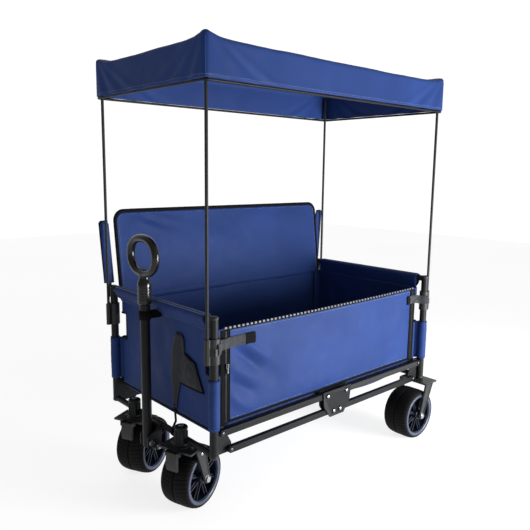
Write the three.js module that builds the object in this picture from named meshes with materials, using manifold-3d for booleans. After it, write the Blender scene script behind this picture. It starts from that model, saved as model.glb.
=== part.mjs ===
// A folding beach cart with a raised backrest, a drop side and a canopy.
// Millimetres, +Z up. The pulling end is at -X and the side that opens is at -Y.
import * as THREE from "three";
import { mergeVertices } from "three/addons/utils/BufferGeometryUtils.js";
import Module from "manifold-3d";

const wasm = await Module();
wasm.setup();

// --- driving dimensions -------------------------------------------------------------------

const gap = 0.3; // between pieces that touch
const clearance = 0.6; // round a pin or a bar in its hole
const bite = 1; // how far joined shapes run into each other
const past = 5; // how far a cutting shape runs past what it cuts
const sides = [-1, 1];
const roundSides = 16; // sides of a round bar
const pinSides = 10; // sides of a pin, a rivet or its hole

// end frames: two posts, a rim bar and a cross bar
const postX = 480;
const postY = 266;
const postR = 12;
const postBottom = 205;
const postTop = 594;
const rimZ = 583;
const rimR = 10;
const crossZ = 214;
const crossR = 9;

// fold linkage: upper and lower links make a parallelogram at each end
const linkInnerY = 259;
const linkOuterY = 273;
const linkHalfHeight = 9;
const upperZ = 270;
const lowerZ = 216;
const upperEndX = 456;
const lowerEndX = 427;
const upperHubX = 44;
const lowerHubX = 15;
const pinR = 5;
const pinHoleR = pinR + clearance;
const rivetHeadR = 8;
const rivetHeadHeight = 2.5;
const bracketInnerY = 253;
const bracketPastPost = 6;
const bracketEdgeX = 12; // from a pin to the bracket's edge
const bracketEdgeZ = 14;
const plateGap = 0.5;
const hubPlate = 4;
const hubOuterY = linkOuterY + plateGap + hubPlate;
const hubTop = [66, 285]; // half width and height of the hub plate's corners
const hubShoulder = [60, 236];
const hubFoot = [32, 199];
const hubRodZ = 243;
const hubRodR = 6;

// basket
const wallX = 465;
const wallY = 249;
const wallHalf = 2;
const wallBottom = 268;
const sideWallX = 430;
const nearBottom = 283;
const farBottom = 262;
const wallTop = 550;
const zipR = 3.5; // the bead along the drop side's zipped edge
const strapZs = [496, 526];
const strapThickness = 3;
const frontStrapXs = [-462, -330];
const rearStrapXs = [395, 462];
const hemR = 14;
const hemHalfY = 238;
const hemFold = 4; // thickness of the hem's doubled cloth below the rim bar
const hemFoldDepth = 10;
const returnGap = 1.5; // from an end wall's turned edge to a side wall
const floorHalfY = 243;
const floorBottom = 258;
const floorTop = 268;
const floorEndX = 452;
const floorMidX = 2;
const sleeveR = 15.6;
const sleeveHoleR = 12.6;
const sleeveBottom = 286;
const sleeveTop = 424;
const sleeveWeb = 6;
const windowY = 214; // the end walls are cut away beside all posts but the far rear one
const windowX = 437;
const windowTop = 506;

// backrest: leans outward over the far wall, between two sleeved uprights
const backX = 458;
const backBottom = 552;
const backHeight = 276;
const backThickness = 5;
const backCorner = 28;
const backLean = 7;
const cornerSteps = 5;
const trimWidth = 10;
const trimGap = 0.5;
const uprightY = 286;
const uprightHalfX = 17;
const uprightHalfY = 11;
const uprightLean = 4;
const stayZs = [556, 610]; // the bare tube below the upright's sleeve
const stayOffset = [2, 3]; // its foot, out from the post along X and from the sleeve along Y
const stayR = 7;
const uprightMidZ = 700;
const uprightLength = 200;
const clampXs = [-9, 15]; // about the post
const clampZs = [554, 590];

// wheels, forks and casters
const wheelR = 89;
const tyreHalf = 48;
const grooveHalf = 3; // the groove round the middle of the tread
const grooveDepth = 2.5;
const rimOuterR = 72;
const rimHalf = 44;
const tyreBoreR = 72.8;
const webHalf = 7; // half thickness of the rim's middle web
const hubR = 20;
const hubHalf = 46;
const axleR = 6;
const axleHeadR = 10;
const axleEnd = 64;
const forkLegIn = 52;
const forkLegOut = 57;
const forkPlate = 6;
const forkPlateXs = [-30, 40];
const legTopXs = [-6, 38];
const legFootR = 13;
const frontTrail = 46;
const rearTrail = 59;
const casterX = 492;
const casterY = 129;
const housingR = 19;
const housingBottom = 195;
const housingTop = 256;
const housingCap = 4;
const stemR = 7;
const rearWheelY = 263;
const casterYaw = { near: 18, far: 26 };
const pedalX = -40;
const pedalZ = 187;
const pedalHalfY = 18;
const pedalPinR = 3;
const earReach = 6; // from the pedal's pin to the edge of an ear
const earYs = [18.5, 22.5];

// pull handle
const handleX = 524;
const pivotZ = 175;
const bracketPlate = 4;
const cheekInnerY = 17;
const cheekOuterY = 22;
const cheekBottom = 160;
const cheekNose = 12;
const pivotHeadR = 9;
const pivotEnd = 27;
const handleR = 14;
const handleBottom = 159;
const handleTop = 585;
const innerR = 11;
const innerBoreR = innerR + clearance;
const innerBottom = 250;
const innerTop = 645;
const tieZs = [541, 566]; // the strap that holds the folded handle
const tieThickness = 3;
const gripX = 527;
const gripZ = 724;
const gripLoopR = 49.5;
const gripStretch = 17;
const gripR = 11.5;
const neckR = 13;
const collarR = 20;
const collarBottom = 586;
const collarTop = 655;

// canopy on four poles
const poleX = 501;
const poleY = 265;
const poleR = 4.5;
const poleBottom = 476;
const clipZs = [468, 536];
const clipR = 16.5;
const clipWebHalf = 7;
const socketR = 8;
const poleTop = 1258;
const canopyX = 515.5;
const canopyY = 279.5;
const canopyWall = 3;
const canopyHem = 1170;
const canopyTop = 1272;
const cornerPeak = 16;
const hemRod = 6;

// --- materials ----------------------------------------------------------------------------

const finish = (color, roughness, metalness) =>
  new THREE.MeshStandardMaterial({ color, roughness, metalness });
const blackMetal = finish(0x17181a, 0.45, 0.6);
const brightMetal = finish(0xb9bcc0, 0.3, 1);
const blueFabric = finish(0x1c3e96, 0.85, 0);
const blackWebbing = finish(0x15161a, 0.9, 0);
const meshFabric = finish(0x1a1c26, 0.95, 0);
const blackPlastic = finish(0x141516, 0.5, 0);
const glossPlastic = finish(0x0e0f10, 0.25, 0);
const forkPlastic = finish(0x25272a, 0.55, 0);
const rimPlastic = finish(0x24355e, 0.5, 0);
const tyreRubber = finish(0x161616, 0.9, 0);

// --- shape helpers ------------------------------------------------------------------------

// Turns a closed three.js geometry into a manifold solid.
function solid(geometry) {
  geometry.deleteAttribute("normal");
  geometry.deleteAttribute("uv");
  const merged = mergeVertices(geometry, 1e-4);
  const shape = new wasm.Manifold(
    new wasm.Mesh({
      numProp: 3,
      vertProperties: merged.attributes.position.array,
      triVerts: new Uint32Array(merged.index.array),
    }),
  );
  return shape;
}

function join(...shapes) {
  return shapes.reduce((whole, shape) => whole.add(shape));
}

function toGeometry(shape) {
  const mesh = shape.getMesh();
  const geometry = new THREE.BufferGeometry();
  geometry.setAttribute("position", new THREE.BufferAttribute(mesh.vertProperties, 3));
  geometry.setIndex(new THREE.BufferAttribute(mesh.triVerts, 1));
  geometry.computeVertexNormals();
  return geometry;
}

// A box between two values on each axis, given in any order.
function box(xs, ys, zs) {
  const low = new THREE.Vector3(Math.min(...xs), Math.min(...ys), Math.min(...zs));
  const high = new THREE.Vector3(Math.max(...xs), Math.max(...ys), Math.max(...zs));
  const size = high.clone().sub(low);
  const centre = low.clone().add(high).multiplyScalar(0.5);
  return solid(new THREE.BoxGeometry(...size).translate(...centre));
}

// A round bar from one point to another.
function rod(from, to, radius, count = roundSides) {
  const a = new THREE.Vector3(...from);
  const b = new THREE.Vector3(...to);
  const way = b.clone().sub(a);
  const turn = new THREE.Quaternion().setFromUnitVectors(
    new THREE.Vector3(0, 1, 0),
    way.clone().normalize(),
  );
  const bar = new THREE.CylinderGeometry(radius, radius, way.length(), count);
  bar.applyQuaternion(turn);
  return solid(bar.translate(...a.add(b).multiplyScalar(0.5)));
}

// A flat plate with its outline in X and Z, between two Y values.
function plateXZ(outline, ys) {
  const shape = outline instanceof THREE.Shape ? outline : outlineOf(outline);
  const depth = Math.abs(ys[1] - ys[0]);
  const options = { depth, bevelEnabled: false, curveSegments: pinSides / 2 };
  const plate = new THREE.ExtrudeGeometry(shape, options);
  plate.rotateX(Math.PI / 2);
  return solid(plate.translate(0, Math.max(...ys), 0));
}

// A flat plate with its outline in Y and Z, between two X values.
function plateYZ(outline, xs) {
  const depth = Math.abs(xs[1] - xs[0]);
  const plate = new THREE.ExtrudeGeometry(outlineOf(outline), { depth, bevelEnabled: false });
  plate.rotateX(Math.PI / 2);
  plate.rotateZ(Math.PI / 2);
  return solid(plate.translate(Math.min(...xs), 0, 0));
}

function outlineOf(points) {
  return new THREE.Shape(points.map(([u, v]) => new THREE.Vector2(u, v)));
}

// A ring turned about the Y axis from a closed profile of [radius, y] points.
function ring(profile, count) {
  const points = [...profile, profile[0]].map(([r, y]) => new THREE.Vector2(r, y));
  return solid(new THREE.LatheGeometry(points, count));
}

const cart = new THREE.Group();

function add(name, shape, material, group = cart) {
  const mesh = new THREE.Mesh(toGeometry(shape), material);
  mesh.name = name;
  group.add(mesh);
}

const endName = (sx) => (sx < 0 ? "front" : "rear");
const sideName = (sy) => (sy < 0 ? "near" : "far");

// --- end frames ---------------------------------------------------------------------------

// The plate welded inside a post that carries the two link pins.
function linkBracket(sx, sy) {
  const ys = [sy * bracketInnerY, sy * (linkInnerY - plateGap)];
  const outline = [
    [sx * (postX + bracketPastPost), postBottom],
    [sx * (lowerEndX - bracketEdgeX), postBottom],
    [sx * (lowerEndX - bracketEdgeX), lowerZ + bracketEdgeZ],
    [sx * (upperEndX - bracketEdgeX), upperZ + bracketEdgeZ],
    [sx * (postX + bracketPastPost), upperZ + bracketEdgeZ],
  ];
  const pins = [
    [upperEndX, upperZ],
    [lowerEndX, lowerZ],
  ].map(([x, z]) => pivotPin(sx * x, z, sy, ys[0]));
  return join(plateXZ(outline, ys), ...pins);
}

// A pin through a link, with a rivet head outside it.
function pivotPin(x, z, sy, fromY) {
  const headY = sy * (linkOuterY + plateGap);
  return join(
    rod([x, fromY, z], [x, headY + sy * bite, z], pinR, pinSides),
    rod([x, headY, z], [x, headY + sy * rivetHeadHeight, z], rivetHeadR, pinSides),
  );
}

function endFrame(sx) {
  const x = sx * postX;
  const bars = [
    rod([x, -postY, rimZ], [x, postY, rimZ], rimR),
    rod([x, -postY, crossZ], [x, postY, crossZ], crossR),
  ];
  const posts = sides.map((sy) => rod([x, sy * postY, postBottom], [x, sy * postY, postTop], postR));
  const brackets = sides.map((sy) => linkBracket(sx, sy));
  return join(...posts, ...bars, ...brackets);
}

// The front frame also carries the two caster housings, each bored for a fork's stem.
function frontFrame() {
  let frame = endFrame(-1);
  for (const sy of sides) {
    const at = (z) => [-casterX, sy * casterY, z];
    const housing = rod(at(housingBottom), at(housingTop), housingR);
    const bore = rod(at(housingBottom - past), at(housingTop - housingCap), stemR + clearance);
    frame = frame.add(housing).subtract(bore);
  }
  return frame;
}

add("front_end_frame", frontFrame(), blackMetal);
add("rear_end_frame", endFrame(1), blackMetal);

// --- fold linkage -------------------------------------------------------------------------

function link(xs, z) {
  const shape = new THREE.Shape();
  shape.absarc(Math.max(...xs), z, linkHalfHeight, -Math.PI / 2, Math.PI / 2, false);
  shape.absarc(Math.min(...xs), z, linkHalfHeight, Math.PI / 2, (3 * Math.PI) / 2, false);
  for (const x of xs) {
    const hole = new THREE.Path();
    hole.absarc(x, z, pinHoleR, 0, 2 * Math.PI, true);
    shape.holes.push(hole);
  }
  return shape;
}

function hub(sy) {
  const corners = [hubTop, hubShoulder, hubFoot];
  const outline = [...corners, ...corners.map(([x, z]) => [-x, z]).reverse()];
  const inner = [sy * (linkInnerY - plateGap - hubPlate), sy * (linkInnerY - plateGap)];
  const outer = [sy * (linkOuterY + plateGap), sy * hubOuterY];
  const pins = [
    [-upperHubX, upperZ],
    [upperHubX, upperZ],
    [-lowerHubX, lowerZ],
    [lowerHubX, lowerZ],
  ].map(([x, z]) =>
    join(
      rod([x, inner[0], z], [x, outer[1], z], pinR, pinSides),
      rod([x, outer[1] - sy * bite, z], [x, outer[1] + sy * rivetHeadHeight, z], rivetHeadR, pinSides),
    ),
  );
  return join(plateXZ(outline, inner), plateXZ(outline, outer), ...pins);
}

for (const sy of sides) {
  const ys = [sy * linkInnerY, sy * linkOuterY];
  for (const sx of sides) {
    const upper = link([sx * upperEndX, sx * upperHubX], upperZ);
    const lower = link([sx * lowerEndX, sx * lowerHubX], lowerZ);
    add(`upper_link_${endName(sx)}_${sideName(sy)}`, plateXZ(upper, ys), blackMetal);
    add(`lower_link_${endName(sx)}_${sideName(sy)}`, plateXZ(lower, ys), blackMetal);
  }
  add(`fold_hub_${sideName(sy)}`, hub(sy), blackMetal);
}
const rodEndY = linkInnerY - plateGap - hubPlate - gap;
add(
  "hub_cross_rod",
  rod([0, -rodEndY, hubRodZ], [0, rodEndY, hubRodZ], hubRodR, pinSides),
  blackMetal,
);

// --- basket -------------------------------------------------------------------------------

// An end wall hems round the rim bar, turns both corners and is sleeved to the posts.
function endWall(sx) {
  const face = [sx * (wallX - wallHalf), sx * (wallX + wallHalf)];
  const outside = wallY + wallHalf;
  const rim = [sx * postX, rimZ];
  const lower = box(face, [-outside, outside], [wallBottom, wallTop]);
  const upper = box(face, [-hemHalfY, hemHalfY], [wallTop - bite, rimZ - hemFoldDepth + bite]);
  const fold = box(
    [face[0], face[1] + sx * hemFold],
    [-hemHalfY, hemHalfY],
    [rimZ - hemFoldDepth, rimZ + hemFold],
  );
  const hem = rod([rim[0], -hemHalfY, rim[1]], [rim[0], hemHalfY, rim[1]], hemR);
  const hemHole = rod([rim[0], -outside, rim[1]], [rim[0], outside, rim[1]], rimR + clearance);
  const corners = sides.map((sy) => {
    const turned = box(
      [face[1], sx * (sideWallX + returnGap)],
      [sy * (wallY - wallHalf), sy * outside],
      [wallBottom, wallTop],
    );
    return join(turned, postSleeve(sx, sy));
  });
  const wall = join(lower, upper, fold, hem, ...corners).subtract(hemHole);
  const windowed = sides.filter((sy) => sx < 0 || sy < 0);
  return windowed.reduce((cut, sy) => cut.subtract(cornerWindow(sx, sy)), wall);
}

// The opening beside a post, through the wall's face and its turned corner.
function cornerWindow(sx, sy) {
  return box(
    [sx * windowX, sx * (wallX + wallHalf + past)],
    [sy * windowY, sy * (wallY + wallHalf + past)],
    [sleeveTop + bite, windowTop],
  );
}

// A sleeve round a post, with a web to the wall's corner.
function postSleeve(sx, sy) {
  const at = (z) => [sx * postX, sy * postY, z];
  const webbing = box(
    [sx * (wallX - wallHalf), sx * (wallX + sleeveWeb)],
    [sy * (wallY - wallHalf), sy * (wallY + sleeveWeb)],
    [sleeveBottom, sleeveTop],
  );
  const bore = rod(at(sleeveBottom - past), at(sleeveTop + past), sleeveHoleR);
  return join(rod(at(sleeveBottom), at(sleeveTop), sleeveR), webbing).subtract(bore);
}

function nearPanel() {
  const y = -wallY;
  const sheet = box([-sideWallX, sideWallX], [y - wallHalf, y + wallHalf], [nearBottom, wallTop]);
  return join(sheet, rod([-sideWallX, y, wallTop], [sideWallX, y, wallTop], zipR, pinSides));
}

// A hook-and-loop strap flat on the drop side.
function cornerStrap(xs) {
  const y = -(wallY + wallHalf + gap);
  return box(xs, [y, y - strapThickness], strapZs);
}

// The backrest's outline, grown by a margin: round top corners and a straight foot.
function roundTopped(margin) {
  const r = backCorner + margin;
  const side = backX + margin;
  const top = backHeight + margin;
  const shape = new THREE.Shape();
  shape.moveTo(-side, 0);
  shape.lineTo(side, 0);
  shape.absarc(side - r, top - r, r, 0, Math.PI / 2, false);
  shape.absarc(r - side, top - r, r, Math.PI / 2, Math.PI, false);
  return shape;
}

// The same outline as points, from the foot at +X over the top to the foot at -X.
function arch(margin) {
  const [lastFoot, ...points] = roundTopped(margin).getPoints(cornerSteps);
  return [...points, lastFoot];
}

// Extrudes an outline drawn upright, then leans it outward about the backrest's foot.
function leaning(shape, depth) {
  const options = { depth, bevelEnabled: false, curveSegments: cornerSteps };
  const plate = new THREE.ExtrudeGeometry(shape, options);
  plate.rotateX(Math.PI / 2);
  plate.translate(0, depth / 2, 0);
  plate.rotateX(-THREE.MathUtils.degToRad(backLean));
  return solid(plate.translate(0, wallY, backBottom));
}

// The bound edge that runs up one end of the backrest, over the top and down the other.
function backrestTrim() {
  const outline = [...arch(trimGap + trimWidth), ...arch(trimGap).reverse()];
  return leaning(new THREE.Shape(outline), trimWidth);
}

// A post extension behind each far corner: a tube with a fabric sleeve, clamped to the post.
function upright(sx) {
  const slope = Math.tan(THREE.MathUtils.degToRad(uprightLean));
  const at = (z) => [
    sx * (postX + stayOffset[0] + slope * (z - stayZs[0])),
    uprightY + stayOffset[1],
    z,
  ];
  const sleeve = new THREE.CylinderGeometry(1, 1, uprightLength, roundSides);
  sleeve.scale(uprightHalfX, 1, uprightHalfY);
  sleeve.rotateX(Math.PI / 2);
  sleeve.rotateY(sx * THREE.MathUtils.degToRad(uprightLean));
  sleeve.translate(at(uprightMidZ)[0], uprightY, uprightMidZ);
  const clamp = box(
    clampXs.map((x) => sx * (postX + x)),
    [postY + postR + plateGap, uprightY + uprightHalfY],
    clampZs,
  );
  return join(solid(sleeve), rod(...stayZs.map(at), stayR, pinSides), clamp);
}

for (const sx of sides) {
  add(`${endName(sx)}_wall`, endWall(sx), blueFabric);
  const floorXs = [sx * floorEndX, sx * floorMidX];
  add(
    `${endName(sx)}_floor`,
    box(floorXs, [-floorHalfY, floorHalfY], [floorBottom, floorTop]),
    blueFabric,
  );
  add(`backrest_upright_${endName(sx)}`, upright(sx), blueFabric);
}
add("near_drop_side", nearPanel(), blueFabric);
add("near_strap_front", cornerStrap(frontStrapXs), blackWebbing);
add("near_strap_rear", cornerStrap(rearStrapXs), blackWebbing);
const farYs = [wallY - wallHalf, wallY + wallHalf];
add("far_wall", box([-sideWallX, sideWallX], farYs, [farBottom, wallTop]), blueFabric);
add("backrest_panel", leaning(roundTopped(0), backThickness), blueFabric);
add("backrest_trim", backrestTrim(), blackWebbing);

// A flat mesh pocket beside an upright band, on the outside of the front wall.
const pocketBack = -(wallX + wallHalf + gap);
const pocketThickness = 9;
const pocketOutline = [
  [-68, 507],
  [-110, 510],
  [-122, 455],
  [-165, 441],
  [-205, 366],
  [-94, 366],
  [-78, 284],
  [-57, 284],
  [-46, 385],
  [-52, 447],
];
add(
  "front_pocket",
  plateYZ(pocketOutline, [pocketBack, pocketBack - pocketThickness]),
  meshFabric,
);

// --- wheels and forks ---------------------------------------------------------------------

function tyre() {
  const half = [
    [tyreBoreR, rimHalf - bite],
    [rimOuterR + 5, tyreHalf],
    [wheelR - 5, tyreHalf - 3],
    [wheelR, tyreHalf - 12],
    [wheelR, grooveHalf + 2],
    [wheelR - grooveDepth, grooveHalf],
  ];
  return mirroredRing(half, 32);
}

function rim() {
  const half = [
    [axleR + clearance, hubHalf],
    [hubR - 2, hubHalf],
    [hubR, webHalf],
    [rimOuterR - 6, webHalf],
    [rimOuterR, rimHalf],
  ];
  return mirroredRing(half, 24);
}

// A ring from one half of its profile, listed from the bore out at +Y.
function mirroredRing(half, count) {
  const other = half.map(([r, y]) => [r, -y]).reverse();
  return ring([...other, ...half].reverse(), count);
}

function axleBolt() {
  const headIn = forkLegOut + gap;
  const heads = sides.map((sy) => rod([0, sy * headIn, 0], [0, sy * axleEnd, 0], axleHeadR, 6));
  const axle = rod([0, -headIn - bite, 0], [0, headIn + bite, 0], axleR, pinSides);
  return join(axle, ...heads);
}

// A fork in its own frame: the post or stem is over the origin and the axle trails to +X.
function fork(trail, plateTop) {
  const plate = box(forkPlateXs, [-forkLegOut, forkLegOut], [plateTop - forkPlate, plateTop]);
  const leg = new THREE.Shape();
  leg.moveTo(legTopXs[0], plateTop);
  leg.lineTo(trail - legFootR, wheelR);
  leg.absarc(trail, wheelR, legFootR, -Math.PI, 0, false);
  leg.lineTo(legTopXs[1], plateTop);
  const hole = new THREE.Path();
  hole.absarc(trail, wheelR, axleR + clearance, 0, 2 * Math.PI, true);
  leg.holes.push(hole);
  const legs = sides.map((sy) => plateXZ(leg, [sy * forkLegIn, sy * forkLegOut]));
  return join(plate, ...legs);
}

// A caster's fork also has its stem and the two ears that hold the brake pedal.
function casterFork() {
  const plateTop = housingBottom - plateGap;
  const stemTop = housingTop - housingCap - 2;
  const stem = rod([0, 0, plateTop - bite], [0, 0, stemTop], stemR, pinSides);
  const ears = sides.map((sy) =>
    box(
      [pedalX - earReach, forkPlateXs[0] + bite],
      [sy * earYs[0], sy * earYs[1]],
      [pedalZ - earReach, plateTop],
    ),
  );
  const hole = [earYs[1] + past, pedalPinR + 0.5];
  const pinHole = rod([pedalX, -hole[0], pedalZ], [pedalX, hole[0], pedalZ], hole[1], pinSides);
  return join(fork(frontTrail, plateTop), stem, ...ears).subtract(pinHole);
}

function brakePedal() {
  const outline = [
    [pedalX - 5, pedalZ + 4],
    [pedalX + 4, pedalZ + 4],
    [pedalX + 4, pedalZ - 10],
    [pedalX + 3, pedalZ - 49],
    [pedalX - 4, pedalZ - 49],
    [pedalX - 9, pedalZ - 28],
  ];
  const pinEnd = earYs[1] - 0.5;
  const pin = rod([pedalX, -pinEnd, pedalZ], [pedalX, pinEnd, pedalZ], pedalPinR, pinSides);
  return join(plateXZ(outline, [-pedalHalfY, pedalHalfY]), pin);
}

function addWheel(name, trail, group) {
  const wheel = new THREE.Group();
  wheel.position.set(trail, 0, wheelR);
  group.add(wheel);
  add(`tyre_${name}`, tyre(), tyreRubber, wheel);
  add(`rim_${name}`, rim(), rimPlastic, wheel);
  add(`axle_bolt_${name}`, axleBolt(), brightMetal, wheel);
}

for (const sy of sides) {
  const caster = new THREE.Group();
  caster.position.set(-casterX, sy * casterY, 0);
  caster.rotation.z = THREE.MathUtils.degToRad(casterYaw[sideName(sy)]);
  cart.add(caster);
  add(`caster_fork_${sideName(sy)}`, casterFork(), forkPlastic, caster);
  add(`brake_pedal_${sideName(sy)}`, brakePedal(), blackPlastic, caster);
  addWheel(`front_${sideName(sy)}`, frontTrail, caster);

  const rear = new THREE.Group();
  rear.position.set(postX, sy * rearWheelY, 0);
  rear.rotation.z = Math.PI;
  cart.add(rear);
  add(`rear_fork_${sideName(sy)}`, fork(rearTrail, postBottom - gap), forkPlastic, rear);
  addWheel(`rear_${sideName(sy)}`, rearTrail, rear);
}

// --- pull handle --------------------------------------------------------------------------

function handleBracket() {
  const back = postX + crossR + plateGap;
  const plate = box(
    [-back, -(back + bracketPlate)],
    [-cheekOuterY, cheekOuterY],
    [cheekBottom, crossZ + cheekNose],
  );
  const cheek = [
    [-back, cheekBottom],
    [-(handleX + cheekNose), cheekBottom],
    [-(handleX + cheekNose), pivotZ + 17],
    [-back, crossZ + 8],
  ];
  const cheeks = sides.map((sy) => plateXZ(cheek, [sy * cheekInnerY, sy * cheekOuterY]));
  const holeEnd = cheekOuterY + past;
  const hole = rod([-handleX, -holeEnd, pivotZ], [-handleX, holeEnd, pivotZ], pinHoleR, pinSides);
  return join(plate, ...cheeks).subtract(hole);
}

function handlePivotBolt() {
  const heads = sides.map((sy) =>
    rod(
      [-handleX, sy * (cheekOuterY + gap), pivotZ],
      [-handleX, sy * pivotEnd, pivotZ],
      pivotHeadR,
      6,
    ),
  );
  const pinEnd = cheekOuterY + bite;
  const pin = rod([-handleX, -pinEnd, pivotZ], [-handleX, pinEnd, pivotZ], pinR, pinSides);
  return join(pin, ...heads);
}

function handleOuterTube() {
  const tube = rod([-handleX, 0, handleBottom], [-handleX, 0, handleTop], handleR);
  const bore = rod([-handleX, 0, innerBottom - 10], [-handleX, 0, handleTop + past], innerBoreR);
  const holeEnd = handleR + past;
  const pinHole = rod(
    [-handleX, -holeEnd, pivotZ],
    [-handleX, holeEnd, pivotZ],
    pinHoleR,
    pinSides,
  );
  return tube.subtract(bore).subtract(pinHole);
}

function innerTube() {
  return rod([-handleX, 0, innerBottom], [-handleX, 0, innerTop], innerR);
}

// A stadium-shaped loop on a collar that takes the inner tube.
function handleGrip() {
  const loop = new THREE.TorusGeometry(gripLoopR, gripR, 8, 24);
  loop.rotateY(Math.PI / 2);
  loop.rotateX(Math.PI / 2);
  const points = loop.attributes.position;
  for (let i = 0; i < points.count; i += 1) {
    const y = points.getY(i);
    points.setY(i, y + (Math.abs(y) > 1e-3 ? Math.sign(y) * gripStretch : 0));
  }
  loop.translate(-gripX, 0, gripZ);
  const collar = rod([-handleX, 0, collarBottom], [-handleX, 0, collarTop], collarR);
  const neck = rod([-handleX, 0, collarTop - bite], [-gripX, 0, gripZ - gripLoopR], neckR);
  const boreZs = [collarBottom - past, innerTop + bite];
  const bore = rod(...boreZs.map((z) => [-handleX, 0, z]), innerBoreR);
  return join(solid(loop), collar, neck).subtract(bore);
}

// A strap from the front wall that holds the folded handle upright.
function handleStrap() {
  const zs = tieZs;
  const half = tieThickness / 2;
  const loop = rod([-handleX, 0, zs[0]], [-handleX, 0, zs[1]], handleR + tieThickness);
  const tab = box([-(handleX - handleR), -(wallX + wallHalf + gap)], [-half, half], zs);
  const bore = rod(
    [-handleX, 0, zs[0] - past],
    [-handleX, 0, zs[1] + past],
    handleR + clearance,
  );
  return join(loop, tab).subtract(bore);
}

add("handle_bracket", handleBracket(), blackMetal);
add("handle_pivot_bolt", handlePivotBolt(), brightMetal);
add("handle_outer_tube", handleOuterTube(), blackMetal);
add("handle_inner_tube", innerTube(), blackMetal);
add("handle_grip", handleGrip(), glossPlastic);
add("handle_strap", handleStrap(), blackWebbing);

// --- canopy -------------------------------------------------------------------------------

// A clip grips a post and holds a pole's foot in a socket on its outboard side.
function poleClip(sx, sy) {
  const [low, high] = clipZs;
  const post = [sx * postX, sy * postY];
  const pole = [sx * poleX, sy * poleY];
  const collar = rod([...post, low], [...post, high], clipR);
  const socket = rod([...pole, low], [...pole, high], socketR, pinSides);
  const webYs = [pole[1] - clipWebHalf, pole[1] + clipWebHalf];
  const web = box([post[0] + sx * postR, pole[0]], webYs, clipZs);
  const postHole = rod([...post, low - past], [...post, high + past], postR + clearance);
  const socketFoot = [...pole, poleBottom - bite];
  const poleHole = rod(socketFoot, [...pole, high + past], poleR + clearance, pinSides);
  return join(collar, socket, web).subtract(postHole).subtract(poleHole);
}

// A box whose top dips between peaked corners.
function canopyBlock(halfX, halfY, bottom, top) {
  const height = top - bottom;
  const block = new THREE.BoxGeometry(2 * halfX, 2 * halfY, height, 12, 8, 1);
  block.translate(0, 0, bottom + height / 2);
  const points = block.attributes.position;
  for (let i = 0; i < points.count; i += 1) {
    const u = Math.abs(points.getX(i)) / halfX;
    const v = Math.abs(points.getY(i)) / halfY;
    const lift = cornerPeak * Math.pow(u, 8) * Math.pow(v, 8);
    const isTop = points.getZ(i) > bottom + height / 2;
    points.setZ(i, points.getZ(i) + (isTop ? lift : 0));
  }
  return solid(block);
}

function canopyCover() {
  const outer = canopyBlock(canopyX, canopyY, canopyHem, canopyTop);
  const inner = canopyBlock(
    canopyX - canopyWall,
    canopyY - canopyWall,
    canopyHem - past,
    canopyTop - canopyWall,
  );
  return outer.subtract(inner);
}

// The rod sewn into the hem, as one loop just inside the cover.
function canopyFrame() {
  const halfX = canopyX - canopyWall - gap;
  const halfY = canopyY - canopyWall - gap;
  const zs = [canopyHem + bite, canopyHem + bite + hemRod];
  const outer = box([-halfX, halfX], [-halfY, halfY], zs);
  const insideX = halfX - hemRod;
  const insideY = halfY - hemRod;
  const inner = box([-insideX, insideX], [-insideY, insideY], [zs[0] - past, zs[1] + past]);
  return outer.subtract(inner);
}

for (const sx of sides) {
  for (const sy of sides) {
    const corner = `${endName(sx)}_${sideName(sy)}`;
    const foot = [sx * poleX, sy * poleY, poleBottom];
    add(`pole_clip_${corner}`, poleClip(sx, sy), blackPlastic);
    add(`canopy_pole_${corner}`, rod(foot, [foot[0], foot[1], poleTop], poleR, pinSides), blackMetal);
  }
}
add("canopy_frame", canopyFrame(), blackMetal);
add("canopy_cover", canopyCover(), blueFabric);

// --- place the origin under the middle of the whole cart ------------------------------------

cart.updateMatrixWorld(true);
const whole = new THREE.Box3().setFromObject(cart, true);
cart.position.x = -(whole.min.x + whole.max.x) / 2;
cart.updateMatrixWorld(true);

export default cart;
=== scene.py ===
"""Looks of a folding beach cart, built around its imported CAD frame. Metres, +Z up.

The pulling end is at -X ("front"), the side that drops open at -Y ("near").
"""
import contextlib
import itertools
import math

import bmesh
import bpy
import numpy as np
from mathutils import Matrix, Vector, noise


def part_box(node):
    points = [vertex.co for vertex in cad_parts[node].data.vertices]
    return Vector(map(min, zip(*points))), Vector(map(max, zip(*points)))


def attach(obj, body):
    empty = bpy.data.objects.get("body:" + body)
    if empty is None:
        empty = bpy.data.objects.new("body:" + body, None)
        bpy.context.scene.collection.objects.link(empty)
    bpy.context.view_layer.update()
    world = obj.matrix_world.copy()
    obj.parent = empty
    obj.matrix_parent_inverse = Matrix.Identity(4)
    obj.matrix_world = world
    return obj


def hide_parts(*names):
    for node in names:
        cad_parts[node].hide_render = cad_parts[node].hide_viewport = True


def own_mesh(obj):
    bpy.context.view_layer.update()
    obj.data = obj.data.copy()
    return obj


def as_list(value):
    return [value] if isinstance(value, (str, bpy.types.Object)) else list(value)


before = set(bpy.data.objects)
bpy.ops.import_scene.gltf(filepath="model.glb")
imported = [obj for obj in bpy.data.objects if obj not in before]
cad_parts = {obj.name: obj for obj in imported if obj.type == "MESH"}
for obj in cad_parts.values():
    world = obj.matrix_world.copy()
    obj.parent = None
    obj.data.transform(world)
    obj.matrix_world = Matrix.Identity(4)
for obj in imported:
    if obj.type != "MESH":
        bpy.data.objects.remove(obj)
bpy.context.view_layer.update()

ENDS = {"front": -1, "rear": 1}
SIDES = {"near": -1, "far": 1}
X, Y, Z = (1, 0, 0), (0, 1, 0), (0, 0, 1)

# --- sizes that follow the frame ----------------------------------------------------------

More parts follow.
